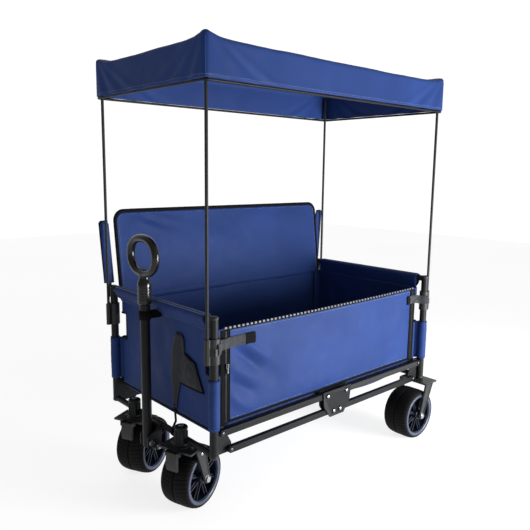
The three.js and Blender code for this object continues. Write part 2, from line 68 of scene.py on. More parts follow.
front_lo, front_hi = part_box("front_wall")
rear_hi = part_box("rear_wall")[1]
SLEEVE_R = 0.0156
POST_R = 0.012
MID_X = (front_lo.x + rear_hi.x) / 2
POST_X = {"front": front_lo.x + SLEEVE_R, "rear": rear_hi.x - SLEEVE_R}
POST_Y = front_hi.y - SLEEVE_R
POST_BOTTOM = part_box("rear_end_frame")[0].z
POST_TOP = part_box("rear_end_frame")[1].z
CLOTH = 0.0016  # thickness of the basket's cloth
FACE_IN = 0.015  # from a post's axis in to the end wall's face
WALL_Y = POST_Y - 0.017
WALL_BOTTOM = front_lo.z
WALL_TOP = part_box("far_wall")[1].z
RIM_Z = 0.583
RIM_R = 0.010
CROSS_Z = 0.214
CROSS_R = 0.009
SLEEVE_BOTTOM = 0.286
SLEEVE_TOP = 0.424
WINDOW_Y = 0.214
WINDOW_TOP = 0.506
SIDE_X = 0.430  # half length of the side walls
STEM_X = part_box("front_end_frame")[0].x + 0.019  # the swivel axis of both casters
CASTER_Y = 0.129


def end_x(end, inward=0.0):
    """X of an end's posts, or of a plane that far inside them."""
    return POST_X[end] - ENDS[end] * inward


# --- materials ----------------------------------------------------------------------------


class Surface:
    """A Principled material and short ways to wire its textures."""

    def __init__(self, name, roughness, metallic=0.0, **constants):
        self.material = bpy.data.materials.new(name)
        self.material.use_nodes = True
        self.nodes = self.material.node_tree.nodes
        self.wires = self.material.node_tree.links
        self.shader = self.nodes["Principled BSDF"]
        self.shader.inputs["Roughness"].default_value = roughness
        self.shader.inputs["Metallic"].default_value = metallic
        for socket, value in constants.items():
            self.shader.inputs[socket.replace("_", " ")].default_value = value
        self.place = self.nodes.new("ShaderNodeTexCoord").outputs["Object"]

    def noise(self, scale, detail=3.0, stretch=(1, 1, 1)):
        mapping = self.nodes.new("ShaderNodeMapping")
        mapping.inputs["Scale"].default_value = stretch
        self.wires.new(self.place, mapping.inputs["Vector"])
        node = self.nodes.new("ShaderNodeTexNoise")
        node.inputs["Scale"].default_value = scale
        node.inputs["Detail"].default_value = detail
        self.wires.new(mapping.outputs["Vector"], node.inputs["Vector"])
        return node.outputs["Fac"]

    def threads(self, axis, pitch, distortion=0.6):
        """Bands across one axis, a band every pitch metres."""
        node = self.nodes.new("ShaderNodeTexWave")
        node.bands_direction = axis
        node.inputs["Scale"].default_value = 0.314 / pitch
        node.inputs["Distortion"].default_value = distortion
        node.inputs["Detail"].default_value = 1.0
        self.wires.new(self.place, node.inputs["Vector"])
        return node.outputs["Fac"]

    def math(self, operation, a, b):
        node = self.nodes.new("ShaderNodeMath")
        node.operation = operation
        for socket, value in zip(node.inputs, (a, b)):
            if isinstance(value, (int, float)):
                socket.default_value = value
            else:
                self.wires.new(value, socket)
        return node.outputs[0]

    def ramp(self, fac, *stops):
        """A colour ramp through (position, colour) stops."""
        node = self.nodes.new("ShaderNodeValToRGB")
        elements = node.color_ramp.elements
        for element, (position, _) in zip(elements, (stops[0], stops[-1])):
            element.position = position
        for position, _ in stops[1:-1]:
            elements.new(position)
        for element, (_, colour) in zip(elements, stops):
            element.color = (*colour, 1)
        self.wires.new(fac, node.inputs["Fac"])
        return node.outputs["Color"]

    def mix(self, fac, a, b, blend="MIX"):
        node = self.nodes.new("ShaderNodeMix")
        node.data_type = "RGBA"
        node.blend_type = blend
        if isinstance(fac, (int, float)):
            node.inputs["Factor"].default_value = fac
        else:
            self.wires.new(fac, node.inputs["Factor"])
        for socket, value in ((node.inputs["A"], a), (node.inputs["B"], b)):
            if isinstance(value, tuple):
                socket.default_value = (*value, 1)
            else:
                self.wires.new(value, socket)
        return node.outputs["Result"]

    def colour(self, colour):
        self.wires.new(colour, self.shader.inputs["Base Color"])

    def roughen(self, fac, low, high):
        """Roughness from low to high with a 0 to 1 texture."""
        spread = self.math("MULTIPLY", fac, high - low)
        self.wires.new(self.math("ADD", spread, low), self.shader.inputs["Roughness"])

    def bump(self, *heights):
        """Stacked bumps of (height, strength, distance)."""
        last = None
        for height, strength, distance in heights:
            node = self.nodes.new("ShaderNodeBump")
            node.inputs["Strength"].default_value = strength
            node.inputs["Distance"].default_value = distance
            self.wires.new(height, node.inputs["Height"])
            if last:
                self.wires.new(last, node.inputs["Normal"])
            last = node.outputs["Normal"]
        self.wires.new(last, self.shader.inputs["Normal"])

    def edges(self, low, high):
        """0 to 1 on convex edges, from the mesh's pointiness."""
        geometry = self.nodes.new("ShaderNodeNewGeometry")
        return self.ramp(geometry.outputs["Pointiness"], (low, (0, 0, 0)), (high, (1, 1, 1)))


def oxford_cloth(name, dark, light):
    """Coated polyester oxford: a fine basket weave, soft creases and uneven dye."""
    s = Surface(name, 0.65, Sheen_Weight=0.02, Sheen_Roughness=0.4, Specular_IOR_Level=0.12)
    weave = s.math("MULTIPLY", s.threads("X", 0.0022), s.threads("Z", 0.0022))
    weave = s.math("MULTIPLY", weave, s.threads("Y", 0.0022))
    patches = s.noise(5.0, 2.0)
    flecks = s.noise(420.0, 2.0)
    tone = s.math("ADD", s.math("MULTIPLY", patches, 0.7), s.math("MULTIPLY", flecks, 0.3))
    base = s.ramp(tone, (0.3, dark), (0.72, light))
    s.colour(s.mix(s.math("MULTIPLY", weave, 0.25), base, dark))
    s.roughen(s.noise(26.0), 0.52, 0.72)
    s.bump((weave, 0.22, 0.0004), (s.noise(16.0, 4.0), 0.22, 0.006), (flecks, 0.1, 0.0003))
    return s.material


def webbing(name, dark, light, pitch=0.0016):
    """Ribbed woven tape."""
    s = Surface(name, 0.8, Sheen_Weight=0.01, Sheen_Roughness=0.5, Specular_IOR_Level=0.07)
    ribs = s.math("ADD", s.threads("X", pitch, 0.3), s.threads("Z", pitch, 0.3))
    ribs = s.math("MULTIPLY", s.math("ADD", ribs, s.threads("Y", pitch, 0.3)), 0.34)
    fuzz = s.noise(700.0, 3.0)
    s.colour(s.mix(ribs, s.ramp(fuzz, (0.3, dark), (0.7, light)), dark))
    s.roughen(fuzz, 0.7, 0.95)
    s.bump((ribs, 0.5, 0.0005), (fuzz, 0.3, 0.0004))
    return s.material


def hook_and_loop(name):
    """Grey brushed loop tape, with a speckled pile."""
    s = Surface(name, 0.95, Sheen_Weight=0.1, Sheen_Roughness=0.6, Specular_IOR_Level=0.15)
    pile = s.noise(900.0, 4.0)
    patches = s.noise(90.0, 3.0)
    tone = s.math("ADD", s.math("MULTIPLY", pile, 0.6), s.math("MULTIPLY", patches, 0.4))
    s.colour(s.ramp(tone, (0.35, (0.007, 0.008, 0.009)), (0.65, (0.050, 0.054, 0.060))))
    s.bump((pile, 0.8, 0.0008), (patches, 0.4, 0.001))
    return s.material


def mesh_net(name):
    """A black knitted net with small dark holes."""
    s = Surface(name, 0.85, Sheen_Weight=0.05, Sheen_Roughness=0.5, Specular_IOR_Level=0.15)
    cells = s.nodes.new("ShaderNodeTexVoronoi")
    cells.feature = "DISTANCE_TO_EDGE"
    cells.inputs["Scale"].default_value = 330.0
    cells.inputs["Randomness"].default_value = 0.25
    s.wires.new(s.place, cells.inputs["Vector"])
    hole = cells.outputs["Distance"]
    s.colour(s.ramp(hole, (0.05, (0.035, 0.036, 0.042)), (0.22, (0.006, 0.007, 0.012))))
    s.roughen(s.noise(300.0), 0.7, 0.95)
    s.bump((hole, 0.6, 0.0008), (s.noise(40.0), 0.2, 0.002))
    return s.material


def powder_coat(name):
    """Semi-gloss black powder coat, with orange peel and lightly rubbed edges."""
    s = Surface(name, 0.42, Specular_IOR_Level=0.13)
    peel = s.noise(1400.0, 2.0)
    smudge = s.noise(14.0, 5.0)
    base = s.ramp(smudge, (0.3, (0.0035, 0.0038, 0.0045)), (0.75, (0.008, 0.0085, 0.010)))
    s.colour(s.mix(s.math("MULTIPLY", s.edges(0.52, 0.62), 0.5), base, (0.035, 0.037, 0.040)))
    s.roughen(smudge, 0.34, 0.55)
    s.bump((peel, 0.12, 0.0002), (s.noise(90.0), 0.05, 0.0006))
    return s.material


def moulded(name, dark, light, low, high, grain=900.0):
    """Moulded plastic with a fine grain and scuffed edges."""
    s = Surface(name, low, Specular_IOR_Level=0.3)
    texture = s.noise(grain, 2.0)
    cloud = s.noise(22.0, 4.0)
    base = s.ramp(cloud, (0.3, dark), (0.72, light))
    worn = tuple(min(1.0, 2.2 * c + 0.02) for c in light)
    s.colour(s.mix(s.math("MULTIPLY", s.edges(0.53, 0.64), 0.45), base, worn))
    s.roughen(cloud, low, high)
    s.bump((texture, 0.25, 0.0002), (s.noise(60.0), 0.06, 0.0006))
    return s.material


def tyre_rubber(name):
    """Dull black tread, greyed a little by dust."""
    s = Surface(name, 0.75, Specular_IOR_Level=0.1)
    grain = s.noise(600.0, 4.0)
    dust = s.noise(11.0, 6.0)
    s.colour(s.ramp(dust, (0.35, (0.0035, 0.0035, 0.004)), (0.8, (0.0095, 0.0092, 0.009))))
    s.roughen(dust, 0.6, 0.9)
    s.bump((grain, 0.35, 0.0003), (s.noise(120.0), 0.12, 0.0006))
    return s.material


def zinc(name, tint, low=0.22, high=0.42):
    """Bright plated steel, with turning marks and faint stains."""
    s = Surface(name, low, 1.0)
    marks = s.noise(500.0, 2.0, (1, 1, 9))
    stain = s.noise(45.0, 4.0)
    s.colour(s.ramp(stain, (0.3, tuple(0.62 * c for c in tint)), (0.6, tint)))
    s.roughen(stain, low, high)
    s.bump((marks, 0.12, 0.0002))
    return s.material


BLUE = oxford_cloth("blue_oxford", (0.0092, 0.0255, 0.106), (0.0140, 0.0375, 0.150))
TAPE = webbing("black_tape", (0.0022, 0.0022, 0.0026), (0.0085, 0.0085, 0.0098))
LOOP = hook_and_loop("grey_loop_tape")
NET = mesh_net("pocket_net")
THREAD = webbing("pale_thread", (0.13, 0.16, 0.27), (0.27, 0.32, 0.49), 0.0006)
STEEL = powder_coat("black_powder_coat")
CLIP = moulded("black_clip_plastic", (0.006, 0.006, 0.007), (0.014, 0.014, 0.016), 0.38, 0.6)
GRIP = moulded("gloss_grip_plastic", (0.004, 0.004, 0.0045), (0.009, 0.009, 0.0105), 0.1, 0.24, 1500.0)
FORK = moulded("grey_fork_plastic", (0.0085, 0.0090, 0.0100), (0.0200, 0.0212, 0.0232), 0.32, 0.5)
RIM = moulded("navy_rim_plastic", (0.0020, 0.0034, 0.0085), (0.0050, 0.0085, 0.020), 0.28, 0.5)
RING = moulded("grey_blue_ring", (0.026, 0.034, 0.056), (0.045, 0.058, 0.092), 0.28, 0.45)
RUBBER = tyre_rubber("tyre_tread")
ZINC = zinc("zinc_plate", (0.50, 0.51, 0.53))
OXIDE = zinc("black_oxide", (0.075, 0.077, 0.083), 0.28, 0.42)
TEETH = moulded("zip_teeth_grey", (0.030, 0.032, 0.036), (0.058, 0.061, 0.068), 0.35, 0.5)

# --- making and placing pieces ------------------------------------------------------------


@contextlib.contextmanager
def editing(mesh):
    """A mesh's faces and points to edit, written back at the end."""
    bm = bmesh.new()
    bm.from_mesh(mesh)
    yield bm
    bm.to_mesh(mesh)
    bm.free()


def smooth(mesh, sharp):
    """Shades a mesh smooth, except across edges sharper than an angle in degrees."""
    mesh.shade_smooth()
    mesh.set_sharp_from_angle(angle=math.radians(sharp))


def new_piece(name, verts, faces, material, sharp=40.0):
    """A mesh object with its normals out."""
    mesh = bpy.data.meshes.new(name)
    mesh.from_pydata([tuple(v) for v in verts], [], faces)
    with editing(mesh) as bm:
        bmesh.ops.recalc_face_normals(bm, faces=bm.faces)
    mesh.materials.append(material)
    smooth(mesh, sharp)
    piece = bpy.data.objects.new(name, mesh)
    bpy.context.scene.collection.objects.link(piece)
    return piece


def rounded(piece, width, segments=2):
    """Rounds the piece's edges that turn by more than 35 degrees."""
    bevel = piece.modifiers.new("edges", "BEVEL")
    bevel.width = width
    bevel.segments = segments
    bevel.limit_method = "ANGLE"
    bevel.angle_limit = math.radians(35.0)
    bevel.harden_normals = True
    return piece


def thickened(piece, thickness):
    solid = piece.modifiers.new("cloth", "SOLIDIFY")
    solid.thickness = thickness
    solid.offset = 0.0
    return piece


def bake(piece):
    """Applies the piece's modifiers."""
    bpy.context.view_layer.update()
    evaluated = piece.evaluated_get(bpy.context.evaluated_depsgraph_get())
    mesh = bpy.data.meshes.new_from_object(evaluated)
    piece.modifiers.clear()
    piece.data = mesh
    return piece


def seat(piece, body, slot, *nodes, folds=False):
    """Puts a piece on a body and in place of CAD nodes. The slot argument is not used.

    folds gives the piece a mesh of its own.
    """
    bake(piece)
    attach(piece, body)
    if nodes:
        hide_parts(*nodes)
    if folds:
        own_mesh(piece)
    return piece


def quads(rows, columns, round_rows=False, round_columns=False):
    """Faces over points laid row by row; each way may close on itself."""
    faces = []
    for j in range(rows if round_rows else rows - 1):
        k = (j + 1) % rows
        for i in range(columns if round_columns else columns - 1):
            n = (i + 1) % columns
            faces.append((j * columns + i, j * columns + n, k * columns + n, k * columns + i))
    return faces


def axes(x_way, y_way, z_way, origin):
    """The placement with those axes at that origin."""
    return Matrix.Translation(origin) @ Matrix((x_way, y_way, z_way)).transposed().to_4x4()


def beside(axis):
    """Two directions square to an axis."""
    u = axis.orthogonal().normalized()
    return u, axis.cross(u)


class Solid:
    """Collects simple closed shapes into one mesh. Each adding method gives the Solid back."""

    def __init__(self):
        self.verts = []
        self.faces = []

    def add(self, verts, faces):
        start = len(self.verts)
        self.verts += [Vector(v) for v in verts]
        self.faces += [tuple(start + i for i in face) for face in faces]
        return self

    def box(self, lo, hi, turn=None):
        corners = [Vector(c) for c in itertools.product(*zip(lo, hi))]
        if turn is not None:
            corners = [turn @ c for c in corners]
        faces = [(0, 1, 3, 2), (4, 6, 7, 5), (0, 4, 5, 1), (2, 3, 7, 6), (0, 2, 6, 4), (1, 5, 7, 3)]
        return self.add(corners, faces)

    def tube(self, points, radius, sides, closed=False, flat=1.0, across=None):
        """A bar along a line; flat thins the section square to across."""
        points = [Vector(p) for p in points]
        count = len(points)
        verts = []
        normal = None
        for i, point in enumerate(points):
            if closed:
                way = points[(i + 1) % count] - points[i - 1]
            else:
                way = points[min(i + 1, count - 1)] - points[max(i - 1, 0)]
            way.normalize()
            if normal is None:
                normal = Vector(across) if across is not None else way.orthogonal()
            normal = (normal - way * normal.dot(way)).normalized()
            other = way.cross(normal)
            for a in circle(sides):
                verts.append(point + radius * (math.cos(a) * normal + flat * math.sin(a) * other))
        faces = quads(count, sides, closed, True)
        if not closed:
            faces.append(tuple(range(sides)))
            faces.append(tuple(range((count - 1) * sides, count * sides)))
        return self.add(verts, faces)

    def lathe(self, profile, centre, axis, count):
        """A closed profile of (radius, along) turned about an axis. Radius 0 makes a pole."""
        axis = Vector(axis).normalized()
        u, v = beside(axis)
        centre = Vector(centre)
        verts, rings = [], []
        for r, along in profile:
            base = centre + axis * along
            if r < 1e-7:
                rings.append([len(verts)])
                verts.append(base)
                continue
            rings.append(list(range(len(verts), len(verts) + count)))
            for a in circle(count):
                verts.append(base + r * (math.cos(a) * u + math.sin(a) * v))
        faces = []
        whole = rings[0] != rings[-1] and len(rings[0]) > 1 and len(rings[-1]) > 1
        pairs = list(zip(rings, rings[1:])) + ([(rings[-1], rings[0])] if whole else [])
        for a, b in pairs:
            for k in range(count):
                n = (k + 1) % count
                face = (a[k % len(a)], a[n % len(a)], b[n % len(b)], b[k % len(b)])
                faces.append(tuple(dict.fromkeys(face)))
        return self.add(verts, faces)

    def prism(self, outline, lo, hi, place):
        """An outline of (u, v) points between two depths; place(u, v, depth) gives the point."""
        count = len(outline)
        verts = [place(u, v, d) for d in (lo, hi) for u, v in outline]
        faces = [tuple(range(count)), tuple(range(count, 2 * count))]
        faces += [(i, (i + 1) % count, count + (i + 1) % count, count + i) for i in range(count)]
        return self.add(verts, faces)

    def make(self, name, material, bevel=0.0, sharp=40.0, segments=2):
        """The mesh object of what was added."""
        piece = new_piece(name, self.verts, self.faces, material, sharp)
        return rounded(piece, bevel, segments) if bevel else piece

    def soft(self, name, material=TAPE):
        """A tape or a cord: make, but smooth all round."""
        return self.make(name, material, sharp=80)


def sheet_piece(name, us, vs, place, material, thickness=CLOTH, skip=None):
    """A sheet over a grid of parameters. skip(u, v) leaves a cell out, by its middle."""

    def middle(face):
        j, i = divmod(face[0], len(us))
        return (us[i] + us[i + 1]) / 2, (vs[j] + vs[j + 1]) / 2

    verts = [place(u, v) for v in vs for u in us]
    faces = [face for face in quads(len(vs), len(us)) if not (skip and skip(*middle(face)))]
    piece = new_piece(name, verts, faces, material, 60.0)
    with editing(piece.data) as bm:
        bmesh.ops.delete(bm, geom=[v for v in bm.verts if not v.link_faces], context="VERTS")
    return thickened(piece, thickness)


RUN_STEP = 0.02  # usual spacing of points along tapes, seams and cords


def spread(*stops, step=RUN_STEP):
    """Values from stop to stop, about a step apart, with every stop kept."""
    values = [stops[0]]
    for a, b in zip(stops, stops[1:]):
        count = max(1, round(abs(b - a) / step))
        values += [a + (b - a) * k / count for k in range(1, count + 1)]
    return values


def crumple(x, y, size, seed):
    """Smooth noise from -1 to 1 with features of that size."""
    return noise.noise(Vector((x / size, y / size, seed * 7.31)))


def circle(count):
    """That many angles, evenly round a circle."""
    return [2 * math.pi * k / count for k in range(count)]


def bell(x):
    """1 at 0, falling away on both sides."""
    return math.exp(-x * x)


def held(value, low, high, fade, fade_high=None):
    """0 at both ends of a range, and 1 from a fade's width inside them."""
    return min(1, (value - low) / fade) * min(1, (high - value) / (fade_high or fade))


def ridge(x, z, a, b, width):
    """1 along the line from a to b, falling away beside it and at its ends."""
    ab = Vector(b) - Vector(a)
    t = (Vector((x, z)) - Vector(a)).dot(ab) / ab.length_squared
    clamped = min(1.0, max(0.0, t))
    gap = (Vector((x, z)) - (Vector(a) + ab * clamped)).length
    return bell(gap / width) * math.sin(math.pi * min(1.0, max(0.04, 0.08 + 0.9 * clamped)))


STITCH_PITCH = 0.005
STITCH_LENGTH = 0.003
STITCH_WIDTH = 0.0007


def stitches(solid, points, across):
    """Short threads along a line. across is the direction that the cloth faces."""
    across = Vector(across).normalized()
    rise = across * STITCH_WIDTH * 0.8
    faces = [(0, 1, 2, 3), (4, 5, 6, 7), (0, 1, 5, 4), (1, 2, 6, 5), (2, 3, 7, 6), (3, 0, 4, 7)]
    for a, b in zip(points, points[1:]):
        a, b = Vector(a), Vector(b)
        way = (b - a).normalized()
        side = way.cross(across) * STITCH_WIDTH / 2
        for k in range(max(1, int((b - a).length / STITCH_PITCH))):
            start = a + way * (STITCH_PITCH * k + 0.001)
            end = start + way * STITCH_LENGTH
            verts = [start - side, start + side, end + side, end - side]
            verts += [v + rise for v in verts]
            solid.add(verts, faces)
    return solid


def disc_profile(radius, low, high):
    """A lathe profile of a disc; with six sides it is a nut."""
    return [(0, low), (radius, low), (radius, high), (0, high)]


# --- CAD nodes that stay ------------------------------------------------------------------


def dress(node, material, bevel=0.0, merge=True):
    """Gives a CAD node a finished material, welded facets and rounded edges."""
    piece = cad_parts[node]
    mesh = piece.data
    mesh.materials.clear()
    mesh.materials.append(material)
    custom = mesh.attributes.get("custom_normal")
    if custom:
        mesh.attributes.remove(custom)
    mesh.shade_smooth()
    weld = piece.modifiers.new("weld", "WELD")
    weld.merge_threshold = 0.00002
    if merge:
        flat = piece.modifiers.new("flat", "DECIMATE")
        flat.decimate_type = "DISSOLVE"
        flat.angle_limit = math.radians(1.0)
    if bevel:
        rounded(piece, bevel)


for end in ENDS:
    for side in SIDES:
        dress(f"upper_link_{end}_{side}", STEEL, 0.0012)
        dress(f"lower_link_{end}_{side}", STEEL, 0.0012)
        dress(f"pole_clip_{end}_{side}", CLIP, 0.0014)
for side in SIDES:
    dress(f"fold_hub_{side}", STEEL, 0.0008)
    dress(f"brake_pedal_{side}", CLIP, 0.0012)
    dress(f"caster_fork_{side}", FORK, 0.0008, merge=False)
    dress(f"rear_fork_{side}", FORK, 0.0008, merge=False)
dress("hub_cross_rod", STEEL, 0.0008)
dress("handle_bracket", STEEL, 0.0008)
dress("handle_pivot_bolt", ZINC, 0.0008)

# --- end frames ---------------------------------------------------------------------------

CAP_H = 0.006
BRACKET_TOP = 0.284
BRACKET_FACES = (0.013, 0.0075)  # in from the posts' axes
# A link bracket's outline: in from the post's axis, z.
BRACKET = (
    (-0.006, POST_BOTTOM),
    (0.065, POST_BOTTOM),
    (0.065, 0.230),
    (0.036, BRACKET_TOP),
    (-0.006, BRACKET_TOP),
)


def end_frame(end):
    """Posts, rim bar, cross bar and the link brackets, as one welded frame."""
    x = POST_X[end]
    solid = Solid()
    outline = [(end_x(end, inward), z) for inward, z in BRACKET]
    for sy in SIDES.values():
        y = sy * POST_Y
        solid.tube([(x, y, POST_BOTTOM + CAP_H), (x, y, POST_TOP - CAP_H)], POST_R, 32)
        depths = [sy * (POST_Y - face) for face in BRACKET_FACES]
        solid.prism(outline, *depths, lambda u, v, d: (u, d, v))
    solid.tube([(x, -POST_Y, RIM_Z), (x, POST_Y, RIM_Z)], RIM_R, 32)
    solid.tube([(x, -POST_Y, CROSS_Z), (x, POST_Y, CROSS_Z)], CROSS_R, 32)
    return solid.make(f"{end}_frame_tubes", STEEL, 0.0012)


def post_caps(end):
    """Moulded plugs in the posts' ends."""
    profile = [(0, -0.010), (POST_R - 0.0004, -0.010), (POST_R + 0.0008, -CAP_H)]
    profile += [(POST_R + 0.0008, -0.003), (POST_R - 0.002, -0.0005), (0, 0)]
    solid = Solid()
    for sy in SIDES.values():
        for z, up in ((POST_TOP, 1), (POST_BOTTOM, -1)):
            solid.lathe(profile, (POST_X[end], sy * POST_Y, z), (0, 0, up), 32)
    return solid.make(f"{end}_post_caps", CLIP, sharp=50)


def caster_housings():
    """The swivel housings under the front cross bar, with a flange, a dome and its nut."""
    solid = Solid()
    nuts = Solid()
    r = 0.019
    profile = [(0, 0.195), (r + 0.006, 0.195), (r + 0.006, 0.198), (r + 0.001, 0.2005)]
    profile += [(r - 0.001, 0.204), (r - 0.001, 0.246), (r, 0.248), (r, 0.252)]
    profile += [(r - 0.002, 0.2545), (0.009, 0.256), (0, 0.256)]
    for sy in SIDES.values():
        foot = (STEM_X, sy * CASTER_Y, 0)
        solid.lathe(profile, foot, Z, 40)
        for k in range(6):
            turn = Matrix.Translation(foot) @ Matrix.Rotation(math.pi * k / 3, 4, "Z")
            solid.box((r - 0.003, -0.0014, 0.205), (r + 0.0018, 0.0014, 0.244), turn)
        nuts.lathe(disc_profile(0.0085, 0.2562, 0.2585), foot, Z, 6)
    return solid.make("caster_housings", STEEL, sharp=30), nuts.make("caster_nuts", ZINC, 0.0006)


for end in ENDS:
    body = f"{end}_frame"
    seat(end_frame(end), body, "black_frame", f"{end}_end_frame")
    seat(post_caps(end), body, "clip_plastic")
housings, nuts = caster_housings()
seat(housings, "front_frame", "black_frame")
seat(nuts, "front_frame", "bright_fastener")


POST_PINS = ((0.024, 0.270), (0.053, 0.216))  # in from a post's axis, z
HUB_PINS = ((0.044, 0.270), (0.015, 0.216))  # out from the cart's middle, z
BRACKET_RIVET = 0.0075  # out from the posts' axes
HUB_RIVET = 0.0115


def rivet(solid, x, y, z, sy):
    """A domed rivet head facing out of a side."""
    r, h = 0.0068, 0.003
    profile = [(0, -0.0004), (r, -0.0004), (r, 0.0008)]
    profile += [(r * 0.8, h * 0.75), (r * 0.4, h), (0, h * 1.05)]
    solid.lathe(profile, (x, y, z), (0, sy, 0), 20)


def rivets():
    """Rivet heads over the link pins: dark on the posts' brackets and bright on the hubs."""
    heads = {"front_frame": Solid(), "rear_frame": Solid(), "fold_hubs": Solid()}
    for sy in SIDES.values():
        for end, out in ENDS.items():
            for inward, z in POST_PINS:
                y = sy * (POST_Y + BRACKET_RIVET)
                rivet(heads[f"{end}_frame"], end_x(end, inward), y, z, sy)
            for x, z in HUB_PINS:
                rivet(heads["fold_hubs"], MID_X + out * x, sy * (POST_Y + HUB_RIVET), z, sy)
    for body, solid in heads.items():
        finish = ZINC if body == "fold_hubs" else OXIDE
        seat(solid.make(f"{body}_rivets", finish, sharp=50), body, "bright_fastener")


rivets()

# --- basket cloth -------------------------------------------------------------------------

CORNER_R = 0.008
HEM_Y = 0.238
FLAT = WALL_Y - CORNER_R
ARC = CORNER_R * math.pi / 2


def wall_plan(end, p):
    """Point and outward direction in plan, p along an end wall from its middle, corners included."""
    face = end_x(end, FACE_IN)
    out = ENDS[end]
    side = math.copysign(1, p)
    past = abs(p) - FLAT
    if past <= 0:
        return Vector((face, p, 0)), Vector((out, 0, 0))
    centre = Vector((face - out * CORNER_R, side * FLAT, 0))
    if past < ARC:
        a = past / CORNER_R
        way = Vector((out * math.cos(a), side * math.sin(a), 0))
        return centre + way * CORNER_R, way
    return centre + Vector((-out * (past - ARC), side * CORNER_R, 0)), Vector((0, side, 0))


def wall_point(end, p, z):
    """The point of an end wall at p and a height."""
    at, _ = wall_plan(end, p)
    return Vector((at.x, at.y, z))


RETURN_END = FLAT + ARC + end_x("rear", FACE_IN) - MID_X - SIDE_X - 0.0015 - CORNER_R
RETURN_WINDOW = RETURN_END - 0.0055


def has_window(end, sy):
    """The end walls are cut away beside every post but the far rear one."""
    return end == "front" or sy < 0


def end_wall(end):
    """One cloth across the face, round both corners and back along the sides, cut at the posts."""
    stops = (-RETURN_END, -RETURN_WINDOW, -FLAT - ARC, -FLAT, -WINDOW_Y, WINDOW_Y)
    stops += (FLAT, FLAT + ARC, RETURN_WINDOW, RETURN_END)
    ps = spread(*stops, step=0.009)
    zs = spread(WALL_BOTTOM, SLEEVE_TOP, WINDOW_TOP, WALL_TOP, step=0.009)
    seed = 3 if end == "front" else 5

    def place(p, z):
        at, way = wall_plan(end, p)
        free = bell((abs(p) / (WALL_Y * 0.93)) ** 3)
        height = (z - WALL_BOTTOM) / (WALL_TOP - WALL_BOTTOM)
        slack = free * (0.25 + 0.75 * math.sin(math.pi * min(1, height)))
        folds = 0.0035 * crumple(p * 1.6, z * 0.55, 0.075, seed)
        folds += 0.0015 * crumple(p, z, 0.035, seed + 1)
        belly = 0.0045 * math.cos(math.pi * p / (2.2 * WALL_Y)) * math.sin(math.pi * height)
        return Vector((at.x, at.y, z)) + way * slack * (folds + belly * 0.6)

    def window(p, z):
        if not has_window(end, math.copysign(1, p)):
            return False
        return WINDOW_Y < abs(p) < RETURN_WINDOW and SLEEVE_TOP < z < WINDOW_TOP

    return sheet_piece(f"{end}_wall_cloth", ps, zs, place, BLUE, skip=window)


def rim_hem(end):
    """The hem round the rim bar: up inside it, over it and down to a seam outside the wall."""
    out = ENDS[end]
    x = POST_X[end]
    r = RIM_R + 0.0032
    inner = end_x(end, FACE_IN) + out * 0.0022
    section = [(inner, 0.5435), (inner + out * 0.0002, 0.556), (inner, 0.570)]
    for k in range(9):
        a = math.pi * (1 - k / 8 * 1.22)
        section.append((x + out * r * math.cos(a), RIM_Z + r * math.sin(a)))
    section += [(x + out * 0.0035, 0.5615), (inner + out * 0.0048, 0.5535)]
    section += [(inner + out * 0.0025, 0.5475)]
    ys = spread(-HEM_Y, HEM_Y, step=0.008)
    seed = 11 if end == "front" else 13

    def place(y, k):
        px, pz = section[k]
        loose = (k - 4) / 10 if k > 4 else 0
        wave = 0.0016 * crumple(y, pz, 0.03, seed) * loose
        sag = 0.003 * bell((abs(y) - 0.10) / 0.09) if k > 10 else 0
        return Vector((px + out * wave, y, pz - sag * 0.5 + wave * 0.5))

    return sheet_piece(f"{end}_rim_hem", ys, list(range(len(section))), place, BLUE, 0.0014)


def hem_cords_and_painted_highlight(end):
    """Two pale cords along the top of the rim's hem: sewn piping, with a painted highlight where light
    catches the hem's rounded top.
    """
    out = ENDS[end]
    solid = Solid()
    for angle, radius in ((math.radians(74), 0.0013), (math.radians(50), 0.0010)):
        r = RIM_R + 0.0042
        x = POST_X[end] + out * r * math.cos(angle)
        ys = spread(-HEM_Y + 0.003, HEM_Y - 0.003)
        solid.tube([(x, y, RIM_Z + r * math.sin(angle)) for y in ys], radius, 8)
    return solid.soft(f"{end}_hem_piping", THREAD)


def post_sleeve(end, side):
    """A cloth sleeve round a post and its web back to the wall's corner."""
    x, y = POST_X[end], SIDES[side] * POST_Y
    turn_in = CORNER_R * (1 - math.sqrt(0.5)) + 0.0005
    corner = Vector((end_x(end, FACE_IN + turn_in), SIDES[side] * (WALL_Y - turn_in), 0))
    away = Vector((x, y, 0)) - corner
    start = math.atan2(-away.y, -away.x)
    turns = [start + 2 * math.pi * k / 28 for k in range(29)]
    zs = spread(SLEEVE_BOTTOM, SLEEVE_TOP, step=0.0075)

    def place(a, z):
        pinch = 0.0012 * crumple(a * 0.01, z, 0.014, 17 + ENDS[end])
        puff = 0.0008 * math.sin(math.pi * (z - SLEEVE_BOTTOM) / (SLEEVE_TOP - SLEEVE_BOTTOM))
        r = SLEEVE_R - 0.0012 + pinch + puff
        return Vector((x + r * math.cos(a), y + r * math.sin(a), z))

    sleeve = sheet_piece(f"post_sleeve_{end}_{side}", turns, zs, place, BLUE, 0.0014)
    root = Vector((x, y, 0)) - away.normalized() * (SLEEVE_R - 0.001)

    def web(u, z):
        at = root.lerp(corner, u)
        return Vector((at.x, at.y, z))

    flap = sheet_piece(f"post_web_{end}_{side}", [0, 0.35, 0.7, 1], zs, web, BLUE, 0.0028)
    return sleeve, flap


